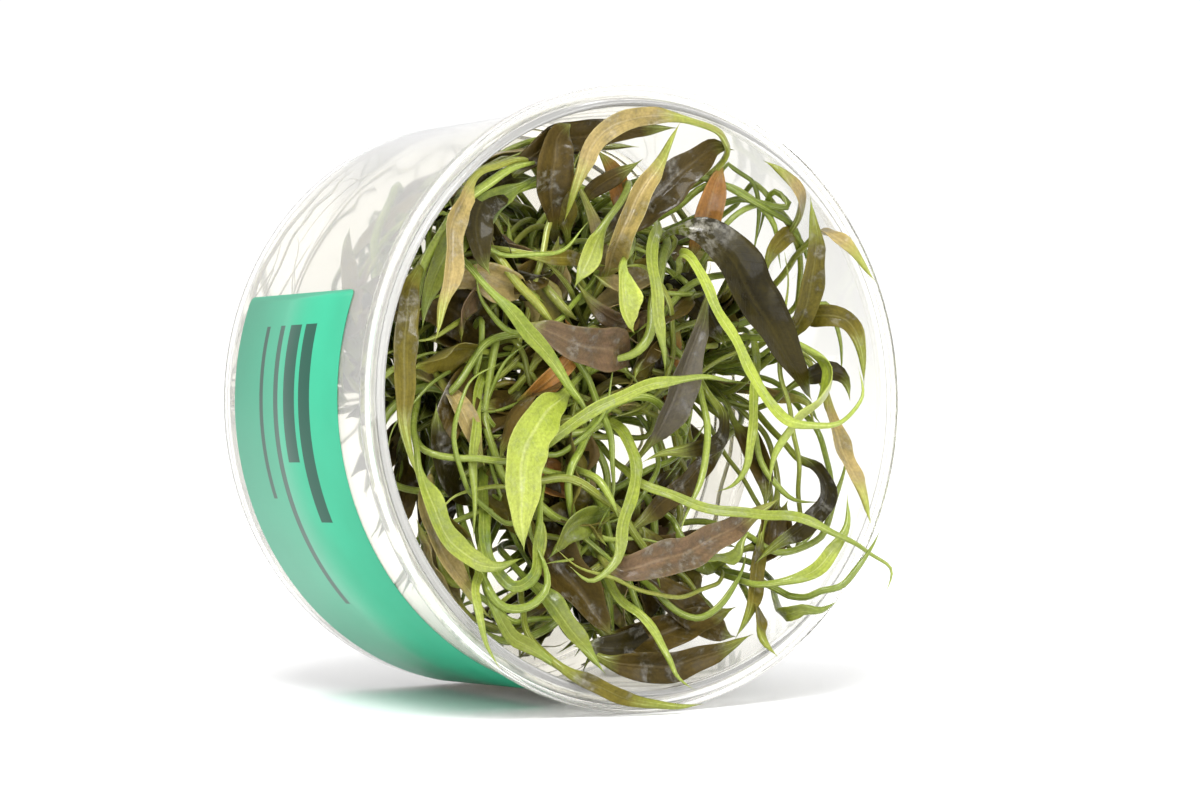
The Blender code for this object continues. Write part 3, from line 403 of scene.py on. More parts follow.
def stationsOf(node):
    # rows of centre, side, half width and half thickness from a leaf's solid, from its foot to its tip
    shape = solidOf(node)
    layers = []
    for vert in shape.verts:
        if len(vert.link_edges) == 6:
            layers = ringLayers(vert)
            if all(len(layer) == 6 for layer in layers[1:]):
                break
    rows = []
    for layer in reversed(layers[1:]):
        corners = np.array([tuple(vert.co) for vert in layer])
        centre = corners.mean(axis=0)
        rows.append((centre, *sectionAxes(corners - centre)))
    tip = np.array(tuple(layers[0][0].co))
    shape.free()
    centres = np.array([row[0] for row in rows] + [tip])
    sides = [rows[0][1]]
    for _, side, half, thick in rows[1:]:
        sides.append(side if np.dot(side, sides[-1]) > 0 else -side)
    sides.append(sides[-1])
    halves = [row[2] for row in rows] + [0.0]
    thicks = [row[3] for row in rows] + [rows[-1][3] * 0.3]
    return np.column_stack([centres, unit(np.array(sides)), halves, thicks])


def sectionAxes(corners):
    # side direction, half width and half thickness of a six-cornered section about its centre
    far = int(np.argmin(np.linalg.norm(corners + corners[0], axis=1)))
    pairs = [(0, far)]
    left = [k for k in range(6) if k not in (0, far)]
    while left:
        first = left.pop(0)
        mate = min(left, key=lambda k: np.linalg.norm(corners[k] + corners[first]))
        left.remove(mate)
        pairs.append((first, mate))
    spokes = [corners[a] for a, _ in pairs]
    best = None
    for k in range(3):
        wide, b, c = spokes[k], spokes[(k + 1) % 3], spokes[(k + 2) % 3]
        for sign in (1, -1):
            # the two short spokes add up to 0.9 of the wide one in the solids' sections
            both = b + sign * c
            miss = min(np.linalg.norm(both - 0.9 * wide), np.linalg.norm(both + 0.9 * wide))
            miss /= np.linalg.norm(wide)
            if best is None or miss < best[0]:
                best = (miss, wide, np.linalg.norm(b - sign * c) / 2)
    _, wide, thick = best
    return wide / np.linalg.norm(wide), np.linalg.norm(wide), thick


# leaf and petiole meshes
blanks = {}


def blankTube(sides, rings):
    # closed tube of unit radius with a ring of vertices at each whole height
    if (sides, rings) in blanks:
        return blanks[(sides, rings)]
    shape = bmesh.new()
    bmesh.ops.create_circle(shape, cap_ends=False, radius=1.0, segments=sides)
    edges = shape.edges[:]
    for _ in range(rings - 1):
        made = bmesh.ops.extrude_edge_only(shape, edges=edges)["geom"]
        verts = [item for item in made if isinstance(item, bmesh.types.BMVert)]
        ends = set(verts)
        edges = [item for item in made
                 if isinstance(item, bmesh.types.BMEdge) and ends.issuperset(item.verts)]
        bmesh.ops.translate(shape, verts=verts, vec=(0, 0, 1))
    bmesh.ops.holes_fill(shape, edges=[edge for edge in shape.edges if edge.is_boundary], sides=sides)
    bmesh.ops.recalc_face_normals(shape, faces=shape.faces)
    shape.loops.layers.uv.new("grown")
    mesh = meshOf("blank_%d_%d" % (sides, rings), shape)
    spots = np.empty(len(mesh.vertices) * 3)
    mesh.vertices.foreach_get("co", spots)
    spots = spots.reshape(-1, 3)
    corners = np.empty(len(mesh.loops), dtype=int)
    mesh.loops.foreach_get("vertex_index", corners)
    blanks[(sides, rings)] = (mesh, np.arctan2(spots[:, 1], spots[:, 0]),
                              np.round(spots[:, 2]).astype(int), corners)
    return blanks[(sides, rings)]


leafForm = {   # lengths in mm
    "step": 1.0,             # between rings
    "bladeThick": 0.17, "ribHigh": 0.34, "ribWide": 0.42, "groove": 0.10,
    "fold": 0.22,            # rise of both halves from the midrib, as a share of the half width
    "cup": 0.14, "curl": 0.0, "twist": 0.0,
    "ruffle": 0.22, "ruffleLong": 7.5,
    "uneven": 0.10,          # how far the edges swell and shrink
    "wander": 0.22,          # how far the line strays
    "petiole": 0.72,         # width of a petiole as a share of its solid's
    "pointed": 3.0,          # length of the tip
}


def evened(widths):
    # softens the kinks between stations
    for _ in range(4):
        padded = np.concatenate([widths[:1], widths, 2 * widths[-1:] - widths[-2:-1]])
        widths = np.convolve(padded, (0.25, 0.5, 0.25), "valid")
    return widths


def waves(run, phase):
    # two uneven waves, about 11 and 25 mm long, between -1 and 1
    return 0.55 * np.sin(run / 1.7 + phase) + 0.45 * np.sin(run / 3.9 + 2.3 * phase)


def leafMesh(name, rows, look, shade, sides):
    # rows are centre, side, half width and half thickness; look overrides leafForm; shade is 0 to 1
    form = {**leafForm, **look}
    phase = 40 * shade
    length = np.linalg.norm(np.diff(rows[:, :3], axis=0), axis=1).sum()
    rings = int(np.clip(round(length / form["step"] / 8) * 8, 16, 96))
    line = evenly(smoothLine(rows), rings)
    half, thick = np.maximum(evened(line[:, 6]), 0.03), np.maximum(evened(line[:, 7]), 0.03)
    along = np.linspace(0, 1, rings)
    run = along * length
    tangent = unit(np.gradient(line[:, :3], axis=0))
    side = unit(line[:, 3:6] - tangent * (line[:, 3:6] * tangent).sum(axis=1)[:, None])
    normal = np.cross(tangent, side)
    if normal[int(np.argmax(half)), 2] < 0:
        side, normal = -side, -normal
    centre = line[:, :3] + form["wander"] * (side * waves(run, phase)[:, None]
                                             + normal * waves(run, phase + 5)[:, None])
    turn = np.radians(form["twist"]) * np.clip((along - 0.3) / 0.7, 0, 1)
    side, normal = (side * np.cos(turn)[:, None] + normal * np.sin(turn)[:, None],
                    normal * np.cos(turn)[:, None] - side * np.sin(turn)[:, None])
    blade = np.clip((half / thick - 1.15) / 1.6, 0, 1)
    half = half * (form["petiole"] + (1 - form["petiole"]) * blade)
    half = half * np.clip((1 - along) * length / form["pointed"], 0.12, 1) ** 0.7

    mesh, angle, ring, corners = blankTube(sides, rings)
    mesh = mesh.copy()
    mesh.name = name
    u = np.cos(angle)
    rise = np.sin(angle)
    b, s = blade[ring], run[ring]
    edge = np.abs(u)
    way = np.where(u > 0, 0.0, 2.1) + phase
    w = half[ring] * (1 + form["uneven"] * b * waves(s * 1.4, way))
    x = u * w
    wave = np.sin(2 * np.pi * (s + 1.3 * np.sin(s / 4.1 + phase)) / form["ruffleLong"] + way)
    middle = (form["fold"] * edge + form["cup"] * edge ** 1.8) * w + form["curl"] * w * u
    middle += form["ruffle"] * np.minimum(w / 2.5, 1.2) * edge ** 2 * wave
    sheet = form["bladeThick"] * (1 - edge ** 2 + 1e-6) ** 0.35 * np.sign(rise) * (np.abs(rise) > 1e-4)
    rib = np.exp(-(x / form["ribWide"]) ** 2) * np.clip((1 - along[ring]) * 3.0, 0, 1)
    rib = np.where(rise > 0, -form["groove"], -form["ribHigh"]) * rib * np.minimum(w / 1.5, 1)
    y = b * (middle + sheet + rib) + (1 - b) * w * 0.9 * rise
    spots = centre[ring] + side[ring] * x[:, None] + normal[ring] * y[:, None]
    spots = spots @ turnToRow.T + moveToRow
    mesh.vertices.foreach_set("co", spots.astype(np.float32).ravel())
    uv = np.column_stack([(u + 1) / 2, s / 10])[corners]           # one unit along is 10 mm
    mesh.uv_layers["grown"].data.foreach_set("uv", uv.astype(np.float32).ravel())
    parts = np.column_stack([b, along[ring], (rise < -0.02).astype(float), np.full(len(u), shade)])
    layer = mesh.attributes.new("leafParts", "FLOAT_COLOR", "POINT")
    layer.data.foreach_set("color", parts.astype(np.float32).ravel())
    mesh.shade_smooth()
    mesh.update()
    return mesh


# leaf finishes
# petiole, blade, blade patches, tip, underside and vein colours, as living leaf tissue with a wet skin
leafColours = {
    "lime": ("#97a447", "#94a03c", "#84922c", "#aeb45c", "#a6ae5e", "#cdd28c"),
    "green": ("#7e8e34", "#74802c", "#566818", "#828436", "#828e42", "#a8b060"),
    "olive": ("#8a8c38", "#665c1e", "#484010", "#716626", "#787038", "#88824a"),
    "dark": ("#6e7028", "#2a2406", "#171302", "#38300c", "#3c3616", "#443e1e"),
    # a dark leaf whose painted glare lies in one large patch at its bend
    "paintedGlare": ("#6e7028", "#2b2505", "#1c1702", "#342c06", "#3c3616", "#3c3512"),
    "brown": ("#7f7e38", "#4c3e16", "#342a0a", "#5a4a20", "#68552c", "#706038"),
    "mauve": ("#8a8440", "#665038", "#4a3c26", "#645238", "#7c644a", "#867254"),
    # a brown leaf greyed all over, a painted sheen
    "sheenGreyed": ("#8a8440", "#5b5340", "#443d2e", "#6a6250", "#746a54", "#7a7262"),
    "tan": ("#98943e", "#968450", "#726436", "#ac9868", "#a89662", "#b8a87a"),
    "orange": ("#a09444", "#ae7c3c", "#90642c", "#ac763e", "#ba8e54", "#c29c62"),
}
leafWet = {    # size in metres of the wet patches, of the sparkle in them, and how much of it there is; glare is a painted highlight colour mixed into the leaf's colour there
    "patch": 0.0042, "sparkle": 0.0011, "paintedGlareTone": "#b4b0a2", "share": 0.3, "dullShare": 0.12,
    "edges": (0.52, 0.62),     # patch values at which a wet patch starts and is full
    "bendEdges": (0.34, 0.46), "bendShare": 0.75,     # of the leaf with one large patch of painted glare at its bend
}
finishes = {}

# what the leaf finish works out: a value's name, its operation, then numbers or the names of earlier values.
# A ramp has the value, its two ends, and what these become. wetPart is the part of a leaf that is wet.
leafSteps = [
    # midrib, pale margin, and faint side veins 1.6 mm apart that lean toward the tip
    ("offset", "SUBTRACT", "across", 0.5),
    ("fromRib", "ABSOLUTE", "offset"),
    ("rib", "ramp", "fromRib", 0.06, 0.015, 0.0, 1.0),
    ("margin", "ramp", "fromRib", 0.44, 0.5, 0.0, 0.5),
    ("lean", "MULTIPLY", "fromRib", -4.2),
    ("count", "MULTIPLY_ADD", "along", 10 / 1.6, "lean"),
    ("teeth", "PINGPONG", "count", 0.5),
    ("thin", "ramp", "teeth", 0.10, 0.0, 0.0, 0.5),
    ("thin", "MULTIPLY", "thin", "patches"),
    ("veins", "MAXIMUM", "margin", "thin"),
    ("veins", "MAXIMUM", "rib", "veins"),
    ("veins", "MULTIPLY", "veins", "blade"),
    # how much of each colour lies over the one below
    ("patched", "ramp", "patches", 0.42, 0.62, 0.0, 1.0),
    ("tipped", "ramp", "tip", 0.72, 1.0, 0.0, 0.7),
    ("beneath", "MULTIPLY", "under", 0.8),
    ("veined", "MULTIPLY", "veins", 0.3),
    ("streaked", "ramp", "streaks", 0.35, 0.65, 0.0, 1.0),
    ("paleStreaked", "ramp", "streaks", 0.56, 0.68, 0.0, 0.6),
    # each leaf a little lighter or darker than the next
    ("tone", "ramp", "shade", 0.0, 1.0, 0.74, 1.14),
    ("mottled", "ramp", "mottle", 0.3, 0.7, 0.8, 1.15),
    ("tone", "MULTIPLY", "tone", "mottled"),
    ("lined", "ramp", "streaks", 0.3, 0.7, 0.84, 1.14),
    ("tone", "MULTIPLY", "tone", "lined"),
    # film of water, its sparkle painted into the colour as a painted highlight, and the relief
    ("bent", "ramp", "tip", 0.6, 0.5, 0.0, 1.0),
    ("wet", "ramp", "patches", "wetLow", "wetHigh", 0.0, 1.0),
    ("wet", "MULTIPLY", "wet", "wetPart"),
    ("sparkled", "ramp", "sparkles", 0.44, 0.7, 0.0, "share"),
    ("paintedGlare", "MULTIPLY", "wet", "sparkled"),
    ("coat", "MULTIPLY_ADD", "blade", -0.35, 0.5),
    ("coat", "MULTIPLY_ADD", "wet", 0.6, "coat"),
    ("roughness", "ramp", "patches", 0.3, 0.7, 0.5, 0.24),
    ("relief", "MULTIPLY_ADD", "streaks", 0.6, "veins"),
    ("relief", "MULTIPLY_ADD", "mottle", 0.5, "relief"),
]
leafLayers = [    # colour made, how much of the upper colour, lower colour, upper colour
    ("top", "patched", "bladeTone", "patchTone"),
    ("top", "tipped", "top", "tipTone"),
    ("top", "beneath", "top", "underTone"),
    ("top", "veined", "top", "veinTone"),
    ("stalk", "streaked", "petioleTone", "greenTone"),
    ("stalk", "paleStreaked", "stalk", "paleTone"),
    ("whole", "blade", "stalk", "top"),
]


def leafFinish(colour):
    # living leaf tissue: lets a little light through, with a pale midrib, darker patches, streaks along
    # the petiole and a film of water, whose glare in patches is a painted highlight in the colour
    if colour in finishes:
        return finishes[colour]
    dark = colour in ("dark", "paintedGlare", "olive", "brown")
    material, tree, shader = newMaterial("wet leaf tissue, " + colour, {
        "IOR": 1.4, "Roughness": 0.34, "Specular IOR Level": 0.14 if dark else 0.28,
        "Subsurface Weight": 0.04 if dark else 0.2, "Subsurface Radius": (0.9, 1.0, 0.3),
        "Subsurface Scale": 0.001, "Coat Roughness": 0.07, "Coat IOR": 1.45,
    })
    at = {name + "Tone": linear(tone)
          for name, tone in zip(("petiole", "blade", "patch", "tip", "under", "vein"), leafColours[colour])}
    at["greenTone"] = linear(leafColours["green"][0])
    at["paleTone"] = linear(leafColours["lime"][5])
    uv = addNode(tree, "UVMap", {"uv_map": "grown"}).outputs["UV"]
    sheet = addNode(tree, "SeparateXYZ", {"Vector": uv}).outputs
    at["across"], at["along"] = sheet["X"], sheet["Y"]
    grown = addNode(tree, "Attribute", {"attribute_name": "leafParts"}).outputs
    parts = addNode(tree, "SeparateColor", {"Color": grown["Color"]}).outputs
    at["blade"], at["tip"], at["under"] = parts["Red"], parts["Green"], parts["Blue"]
    at["shade"] = grown["Alpha"]
    spot = addNode(tree, "TexCoord", {}).outputs["Object"]
    stretched = addNode(tree, "Mapping", {"Vector": uv, "Scale": (9.0, 0.7, 1.0)}).outputs[0]
    for name, place, size, detail in (
            ("patches", spot, leafWet["patch"], 3.0), ("mottle", spot, 0.0005, 3.0),
            ("streaks", stretched, 1.0, 2.0), ("sparkles", spot, leafWet["sparkle"], 4.0)):
        at[name] = addNode(tree, "TexNoise", {
            "Vector": place, "Scale": 1 / size, "Detail": detail, "Roughness": 0.6,
        }).outputs["Fac"]
    edges, wetPart = leafWet["edges"], "blade"
    at["share"] = leafWet["share"] if dark or colour in ("tan", "mauve") else leafWet["dullShare"]
    if colour == "paintedGlare":
        edges, wetPart = leafWet["bendEdges"], "bent"
        at["share"] = leafWet["bendShare"]
    at["wetLow"], at["wetHigh"] = edges
    for name, operation, *values in leafSteps:
        values = [wetPart if value == "wetPart" else value for value in values]
        inputs = {k: at.get(value, value) for k, value in enumerate(values)}
        if operation == "ramp":
            node = addNode(tree, "MapRange", inputs)
        else:
            node = addNode(tree, "Math", {"operation": operation, **inputs})
        at[name] = node.outputs[0]
    for name, share, lower, upper in leafLayers:
        at[name] = addNode(tree, "Mix", {
            "data_type": "RGBA", 0: at[share], 6: at[lower], 7: at[upper],
        }).outputs[2]
    toned = addNode(tree, "HueSaturation", {"Color": at["whole"], "Value": at["tone"]})
    # painted highlight: the glare colour mixed in where the wet patches sparkle
    paintedGlare = addNode(tree, "Mix", {
        "data_type": "RGBA", 0: at["paintedGlare"], 6: toned.outputs["Color"], 7: linear(leafWet["paintedGlareTone"]),
    })
    bump = addNode(tree, "Bump", {"Height": at["relief"], "Strength": 0.4, "Distance": 0.0002})
    for socket, name in ((paintedGlare.outputs[2], "Base Color"), (at["coat"], "Coat Weight"),
                         (at["roughness"], "Roughness"), (bump.outputs["Normal"], "Normal")):
        tree.links.new(socket, shader.inputs[name])
    finishes[colour] = material
    return material


# leaves in place of their solids
crowns = {    # foot on the gel and lean of the top, across and up, as the solids stand
    "crown_01": ((1, 1), (2, 2)), "crown_02": ((25, 4), (3, -1)), "crown_03": ((3, 27), (1, 2)),
    "crown_04": ((-21, 2), (-3, 1)), "crown_05": ((5, -25), (1, -3)),
}
crownRings = ((17.85, 3.4), (20.35, 4.0), (26.8, 6.4), (29.8, 6.4), (31.0, 3.2))   # height and radius
crownLobe = 0.14
leafLooks = {
    "leaf_big_olive": {"cup": 0.12, "ruffle": 0.08, "uneven": 0.03, "colour": "paintedGlare"},
    "leaf_twisted_lime": {"twist": 150},
    "leaf_grey_lance": {"cup": 0.3, "colour": "sheenGreyed", "uneven": 0.05,       # cut off square at its foot
                        "widths": ((0, 0.75), (0.40, 0.75), (0.44, 3.0), (0.56, 3.2), (0.76, 2.2), (1, 0.1))},
    "leaf_dark_bottom": {"fold": 0.7},
    "leaf_bottom_brown_a": {"fold": 0.6, "ruffle": 0.35},
    "leaf_brown_upper": {"fold": 0.5},
    "leaf_brown_drop": {"fold": 0.8, "twist": 40},
    "leaf_lime_b": {"fold": 0.7},
    "leaf_tan_hanging": {"fold": 0.6, "ruffle": 0.35},
    "leaf_pale_fold": {"cup": 0.9},
    "leaf_bottom_brown_b": {"uneven": 0.03, "ruffle": 0.1},
}


def nearestCrown(spot):
    return min(crowns, key=lambda key: math.dist(spot[:2], crowns[key][0]))


def toCrown(rows, draw):
    # the petiole goes on from the foot of the solid down to the nearest crown on the gel
    foot = rows[0, :3]
    (fx, fy), _ = crowns[nearestCrown(foot)]
    spread = draw.uniform(0.4, 3.0)
    turn = draw.uniform(0, 2 * math.pi)
    start = np.array((fx + spread * math.cos(turn), fy + spread * math.sin(turn), gel["top"] - 0.6))
    along = unit(rows[0, :3] - rows[1, :3])
    reach = np.linalg.norm(foot - start)
    first = start + np.array((0, 0, 0.42 * reach))
    second = foot + along * 0.38 * reach
    t = np.linspace(0, 1, 7)[:-1, None]
    curve = (start * (1 - t) ** 3 + 3 * first * t * (1 - t) ** 2
             + 3 * second * t ** 2 * (1 - t) + foot * t ** 3)
    width, thick = min(rows[0, 6], 0.9), rows[0, 7]
    sections = np.tile((*rows[0, 3:6], width, thick), (len(curve), 1))
    return np.vstack([np.column_stack([curve, sections]), rows])


def makeLeaves():
    draw = random.Random(11)
    made = 0
    for node in sorted(frame["nodes"]):
        if node in ("cup", "label", "nutrient_gel") or node.startswith("crown"):
            continue
        rows = stationsOf(node)
        largeLines.append(evenly(smoothLine(rows[:, :3]), 40))
        look = leafLooks.get(node, {})
        if "widths" in look:
            shares, halves = zip(*look["widths"])
            rows[:, 6] = np.interp(np.linspace(0, 1, len(rows)), shares, halves)
        rows = toCrown(rows, draw)
        colour = look.get("colour", slotOf[node])
        sides = 20 if rows[:, 6].max() > 1.3 else 12
        mesh = leafMesh(node + "_grown", rows, look, draw.random(), sides)
        addPiece(node + "_grown", mesh, [leafFinish(colour)], [node])
        made += len(mesh.polygons)
    print("leaves: %d faces" % made)


# fine leaves and petioles between the large ones, out of the crowns
fineLeaves = [   # colour, half width, start of the blade, route as (across, up, depth)
    ("brown", 1.6, 0.3, [(-14, 27, 16), (-9, 32, 10), (-4, 35, 7), (2.5, 38, 6)]),
    ("olive", 1.3, 0.3, [(-29, 25.4, 13), (-23, 23.8, 7), (-17, 22.8, 6), (-11, 22.2, 7), (-5, 21, 11)]),
    ("dark", 1.8, 0.3, [(26, -1, 13), (31, 2, 8), (36, 3.3, 5), (39.2, 1.8, 4), (40.2, -1.8, 4)]),
    ("lime", 1.15, 0.0, [(6, 24, 13), (3.6, 16, 6), (2.2, 10.4, 4.4), (-0.5, 7.2, 4.8), (-5, 6.3, 7),
                         (-10, 6, 11)]),
    ("green", 1.0, 0.0, [(-31.5, -24, 8), (-29.5, -28.5, 3), (-26.5, -31.6, 1.5), (-22, -32, 1),
                         (-18.6, -29.3, 1), (-18.5, -25.5, 1.5), (-20.5, -21.5, 4)]),
    ("lime", 0.8, 0.0, [(-33.5, -8.2, 4), (-29, -8.5, 3.5), (-24.5, -9, 4), (-19, -10.5, 6), (-12, -12, 9)]),
    ("green", 0.8, 0.0, [(-2, -28, 12), (2.5, -31.5, 6), (6.5, -34.4, 5), (10, -35.4, 4.5), (14, -33.3, 4.5),
                         (17.5, -29.5, 5.5), (19, -25, 8)]),
    ("olive", 1.6, 0.3, [(24, -18, 14), (21.5, -25, 8), (20.3, -31, 6), (18.5, -36, 5.5),
                         (16.5, -39.3, 6.5)]),
    ("green", 1.3, 0.3, [(-30, -24, 10), (-29, -30, 3), (-26.5, -34.5, 2), (-23.5, -38.3, 1.8),
                         (-19.5, -41.3, 1.5), (-15, -42.5, 2.5)]),
    ("olive", 1.6, 0.3, [(34, 21, 12), (32, 25, 9), (28.5, 25.2, 8), (26, 22.3, 8), (25, 18.5, 9.5)]),
    ("green", 0.8, 0.0, [(12, 35, 10), (17, 34, 8), (22, 31.3, 7), (27, 29, 7), (31, 26, 8), (34, 22, 10)]),
    ("tan", 1.1, 0.0, [(-29, 26, 12), (-25, 22.5, 6), (-21, 18.3, 5), (-17, 14, 5), (-13, 9, 6)]),
    ("mauve", 1.1, 0.0, [(-16, 17, 8), (-13.6, 14.8, 6.5), (-11, 12.5, 8)]),
    ("lime", 0.9, 0.0, [(-12, -11, 10), (-8, -12.5, 6), (-6, -15.5, 4), (-4.8, -19, 3)]),
    ("green", 1.0, 0.0, [(-44, 33, 25), (-46.7, 24.5, 21), (-47, 17, 17)]),
    ("brown", 2.6, 0.15, [(-27, 31, 12), (-20, 37.5, 6), (-12, 41.3, 5), (-3, 42.8, 5), (9, 42.6, 6)]),
    ("lime", 1.1, 0.0, [(-41.5, 13, 9), (-38.5, 22, 5), (-32, 30.5, 4), (-23, 36.4, 4), (-14, 38.6, 6)]),
    ("green", 2.5, 0.25, [(-13, 36, 9), (-22, 33.5, 5), (-30, 28.5, 4), (-36.5, 20.5, 4), (-39.5, 12, 6)]),
    ("green", 0.9, 0.0, [(-37, 24, 11), (-30, 29.5, 6), (-21, 33.6, 6), (-12, 34, 8), (-3, 32, 12)]),
    ("olive", 2.2, 0.2, [(-12, 24, 14), (-13, 30, 9), (-15.5, 35, 8), (-20, 38, 8)]),
    ("tan", 1.3, 0.0, [(-7, 16, 14), (-6.4, 24, 10), (-8.5, 31, 9), (-11, 36, 9)]),
    ("orange", 1.9, 0.2, [(-3, 25, 15), (-2, 30.5, 11), (-3.5, 36, 10), (-6.5, 40, 9)]),
    ("orange", 2.2, 0.2, [(-24, -1, 14), (-19, 2, 9), (-14.5, 5, 8), (-10, 9, 9)]),
    ("tan", 2.0, 0.2, [(-38, 6, 14), (-34, 1, 8), (-31, -4, 7), (-29, -10, 8)]),
    ("brown", 3.4, 0.15, [(-28, 8, 15), (-32, 3, 10), (-36, -3, 8), (-38, -10, 9)]),
    ("dark", 3.2, 0.15, [(6, -34, 14), (1, -38, 9), (-6, -39.5, 8), (-14, -38.5, 9)]),
    ("brown", 3.2, 0.15, [(-4, -26, 14), (3, -31, 9), (10, -36, 8), (17, -39, 9)]),
    ("lime", 0.8, 0.0, [(8, 30, 14), (14, 33.5, 9), (21, 32.5, 8), (26.5, 27, 8), (27.5, 20, 10)]),
    ("lime", 0.7, 0.0, [(12, 20, 14), (17, 27, 9), (24, 30.5, 8), (31, 29.5, 8), (36, 24, 9)]),
    ("lime", 0.65, 0.0, [(19, 30, 15), (24, 34.5, 9), (30, 34.2, 8), (35.5, 29.5, 8), (37.5, 22, 9),
                         (35, 15, 11)]),
    ("green", 0.55, 0.0, [(14, 29, 15), (17.5, 36.5, 10), (21.5, 36, 9), (24, 29, 9), (22, 21, 12)]),
    ("lime", 0.6, 0.0, [(26, 8, 14), (31.5, 13, 9), (37, 14, 8), (40.2, 9, 8), (38.5, 2, 9)]),
    ("green", 0.7, 0.0, [(30, -2, 14), (34.5, -8, 9), (35.5, -16, 8), (31.5, -23, 8), (25, -27, 9)]),
    ("lime", 0.8, 0.0, [(18, -22, 13), (25, -25.5, 7), (32.5, -24, 6), (38.5, -18, 6), (41, -10, 7)]),
]
gaps = [   # where the eye sees through the tangle: across, up, half width, half height
    (-20, 31.5, 4, 4), (-9, 31, 4.5, 5), (2, 39.5, 6, 3.5), (12, 30.5, 8, 4), (26, 36, 6, 8), (27, 24, 4, 6),
    (38, 34, 7, 12), (44, 18, 5, 9), (38, 7, 4.5, 4.5), (12.5, -3, 3, 3.5), (0.5, -8, 4.5, 3),
    (-6, -11, 3, 3.5), (17, 0.5, 3.5, 2.5), (23, 11, 4, 3), (24, -7, 5, 6), (15, -12, 5, 3.5),
    (33, -10, 4, 3), (41, -12, 4, 7),
    (34, -26, 6, 5), (44, -30, 6, 8), (31, -38, 6, 5), (-24, 12, 2, 2), (13, -20, 5, 2.5),
]
sheaf = {
    "wallGap": 1.1,          # room between the leaves and the wall
    "beside": 2,             # leaves beside each small leaf of the solids
    "field": ((-32, 32), (-34, 32)), "stride": 6.5,     # where stems and strays start, and their step
    "stems": 62, "stemHalf": (0.36, 0.74), "stemDepth": (3.5, 20.0), "stemSteps": (4, 8), "stemCurl": 0.7,
    "crossing": 0.45,        # share of the stems that may cross a gap
    "strays": 120, "strayHalf": (1.7, 3.6), "strayDepth": (5.0, 17.0), "straySteps": (2, 4),
    "apart": (1.1, 2.9),     # how far a stem and a leaf keep from the middle of a large leaf
    "front": 34.0,           # height above which the leaves beside others do so too
    "walls": 40,             # leaves that stand along the wall on its upper left
    "wallColours": [("dark", 0.24), ("tan", 0.24), ("lime", 0.2), ("mauve", 0.16), ("green", 0.16)],
    "strayColours": [("brown", 0.3), ("olive", 0.24), ("tan", 0.16), ("mauve", 0.1), ("green", 0.08),
                     ("dark", 0.07), ("orange", 0.05)],
    "young": 14, "youngReach": (1.0, 9.0), "youngTop": (30.0, 40.0), "tries": 60, "plainShare": 0.4,
    "plainColours": [("lime", 0.36), ("green", 0.36), ("olive", 0.14), ("tan", 0.06), ("brown", 0.08)],
    "colours": [("lime", 0.06), ("green", 0.16), ("olive", 0.24), ("brown", 0.26), ("dark", 0.14),
                ("mauve", 0.07), ("tan", 0.05), ("orange", 0.02)],
}


def routeRows(points, halfWidth, bladeStart, leanDegrees, count=28):
    # rows of centre, side, half width and half thickness along points in the cup's frame
    line = evenly(smoothLine(points), count)
    tangent = unit(np.gradient(line, axis=0))
    side = unit(np.cross(tangent, (0.0, 0.0, 1.0)) + 1e-6)
    normal = np.cross(tangent, side)
    lean = math.radians(leanDegrees)
    side = side * math.cos(lean) + normal * math.sin(lean)
    along = np.linspace(0, 1, count)
    slim = min(0.72, halfWidth)
    if halfWidth <= 1.25:
        half = halfWidth * np.clip((1 - along) / 0.3, 0.3, 1)
        thick = half.copy()
    else:
        blade = np.clip((along - bladeStart) / (1 - bladeStart), 0, 1)
        swell = np.sin(np.pi * blade ** 0.75) ** 0.8
        half = np.maximum(slim * np.clip((1 - along) / 0.12, 0.05, 1), halfWidth * swell)
        flat = np.clip((half - slim) / (halfWidth - slim), 0, 1)
        thick = slim * (1 - flat) + 0.34 * flat
    return np.column_stack([line, side, half, thick])


def asSeen(spots):
    # where the eye sees points of the cup's frame, in the plane of the mouth
    scale = (cup["depth"] - eye[2]) / (spots[:, 2] - eye[2])
    return (eye + (spots - eye) * scale[:, None])[:, :2]


def inGap(spots, margin):
    seen = asSeen(spots)
    return any((((seen[:, 0] - x) / (a + margin)) ** 2 + ((seen[:, 1] - y) / (b + margin)) ** 2 < 1).any()
               for x, y, a, b in gaps)


def isCore(spot, crown):
    # whether a corner of the crown's solid belongs to its core and not to a small leaf
    (fx, fy), (lx, ly) = crowns[crown]
    share = (spot.z - crownRings[0][0]) / (crownRings[-1][0] - crownRings[0][0])
    away = math.hypot(spot.x - fx - lx * share, spot.y - fy - ly * share)
    return any(abs(spot.z - high) < 0.02 and abs(abs(away / radius - 1) - crownLobe) < 0.01
               for high, radius in crownRings)


def smallLeavesOf(crown):
    # rows of each small leaf that grows out of the crown's solid, as four-cornered rings
    shape = solidOf(crown)
    core = {vert for vert in shape.verts if isCore(vert.co, crown)}
    seen = set(core)
    leaves = []
    for vert in shape.verts:
        touches = any(edge.other_vert(vert) in core for edge in vert.link_edges)
        if vert in seen or not touches:
            continue
        layer = {vert}
        while True:     # the first ring: neighbours that also touch the core
            near = {edge.other_vert(v) for v in layer for edge in v.link_edges} - core - layer
            near = {v for v in near if any(edge.other_vert(v) in core for edge in v.link_edges)}
            if not near:
                break
            layer |= near
        rows = []
        while layer:
            seen |= layer
            ring = sorted(layer, key=lambda v: v.index)     # a set has no order of its own
            rows.append(ringAxes(np.array([tuple(v.co) for v in ring])))
            layer = {edge.other_vert(v) for v in layer for edge in v.link_edges} - seen
        leaves.append(squareUp(rows))
    shape.free()
    return leaves


def ringAxes(corners):
    # centre of a four-cornered ring and its two half edges
    far = int(np.argmax(np.linalg.norm(corners - corners[0], axis=1)))
    a, b = [k for k in range(1, 4) if k != far]
    return corners.mean(axis=0), (corners[a] - corners[0]) / 2, (corners[b] - corners[0]) / 2


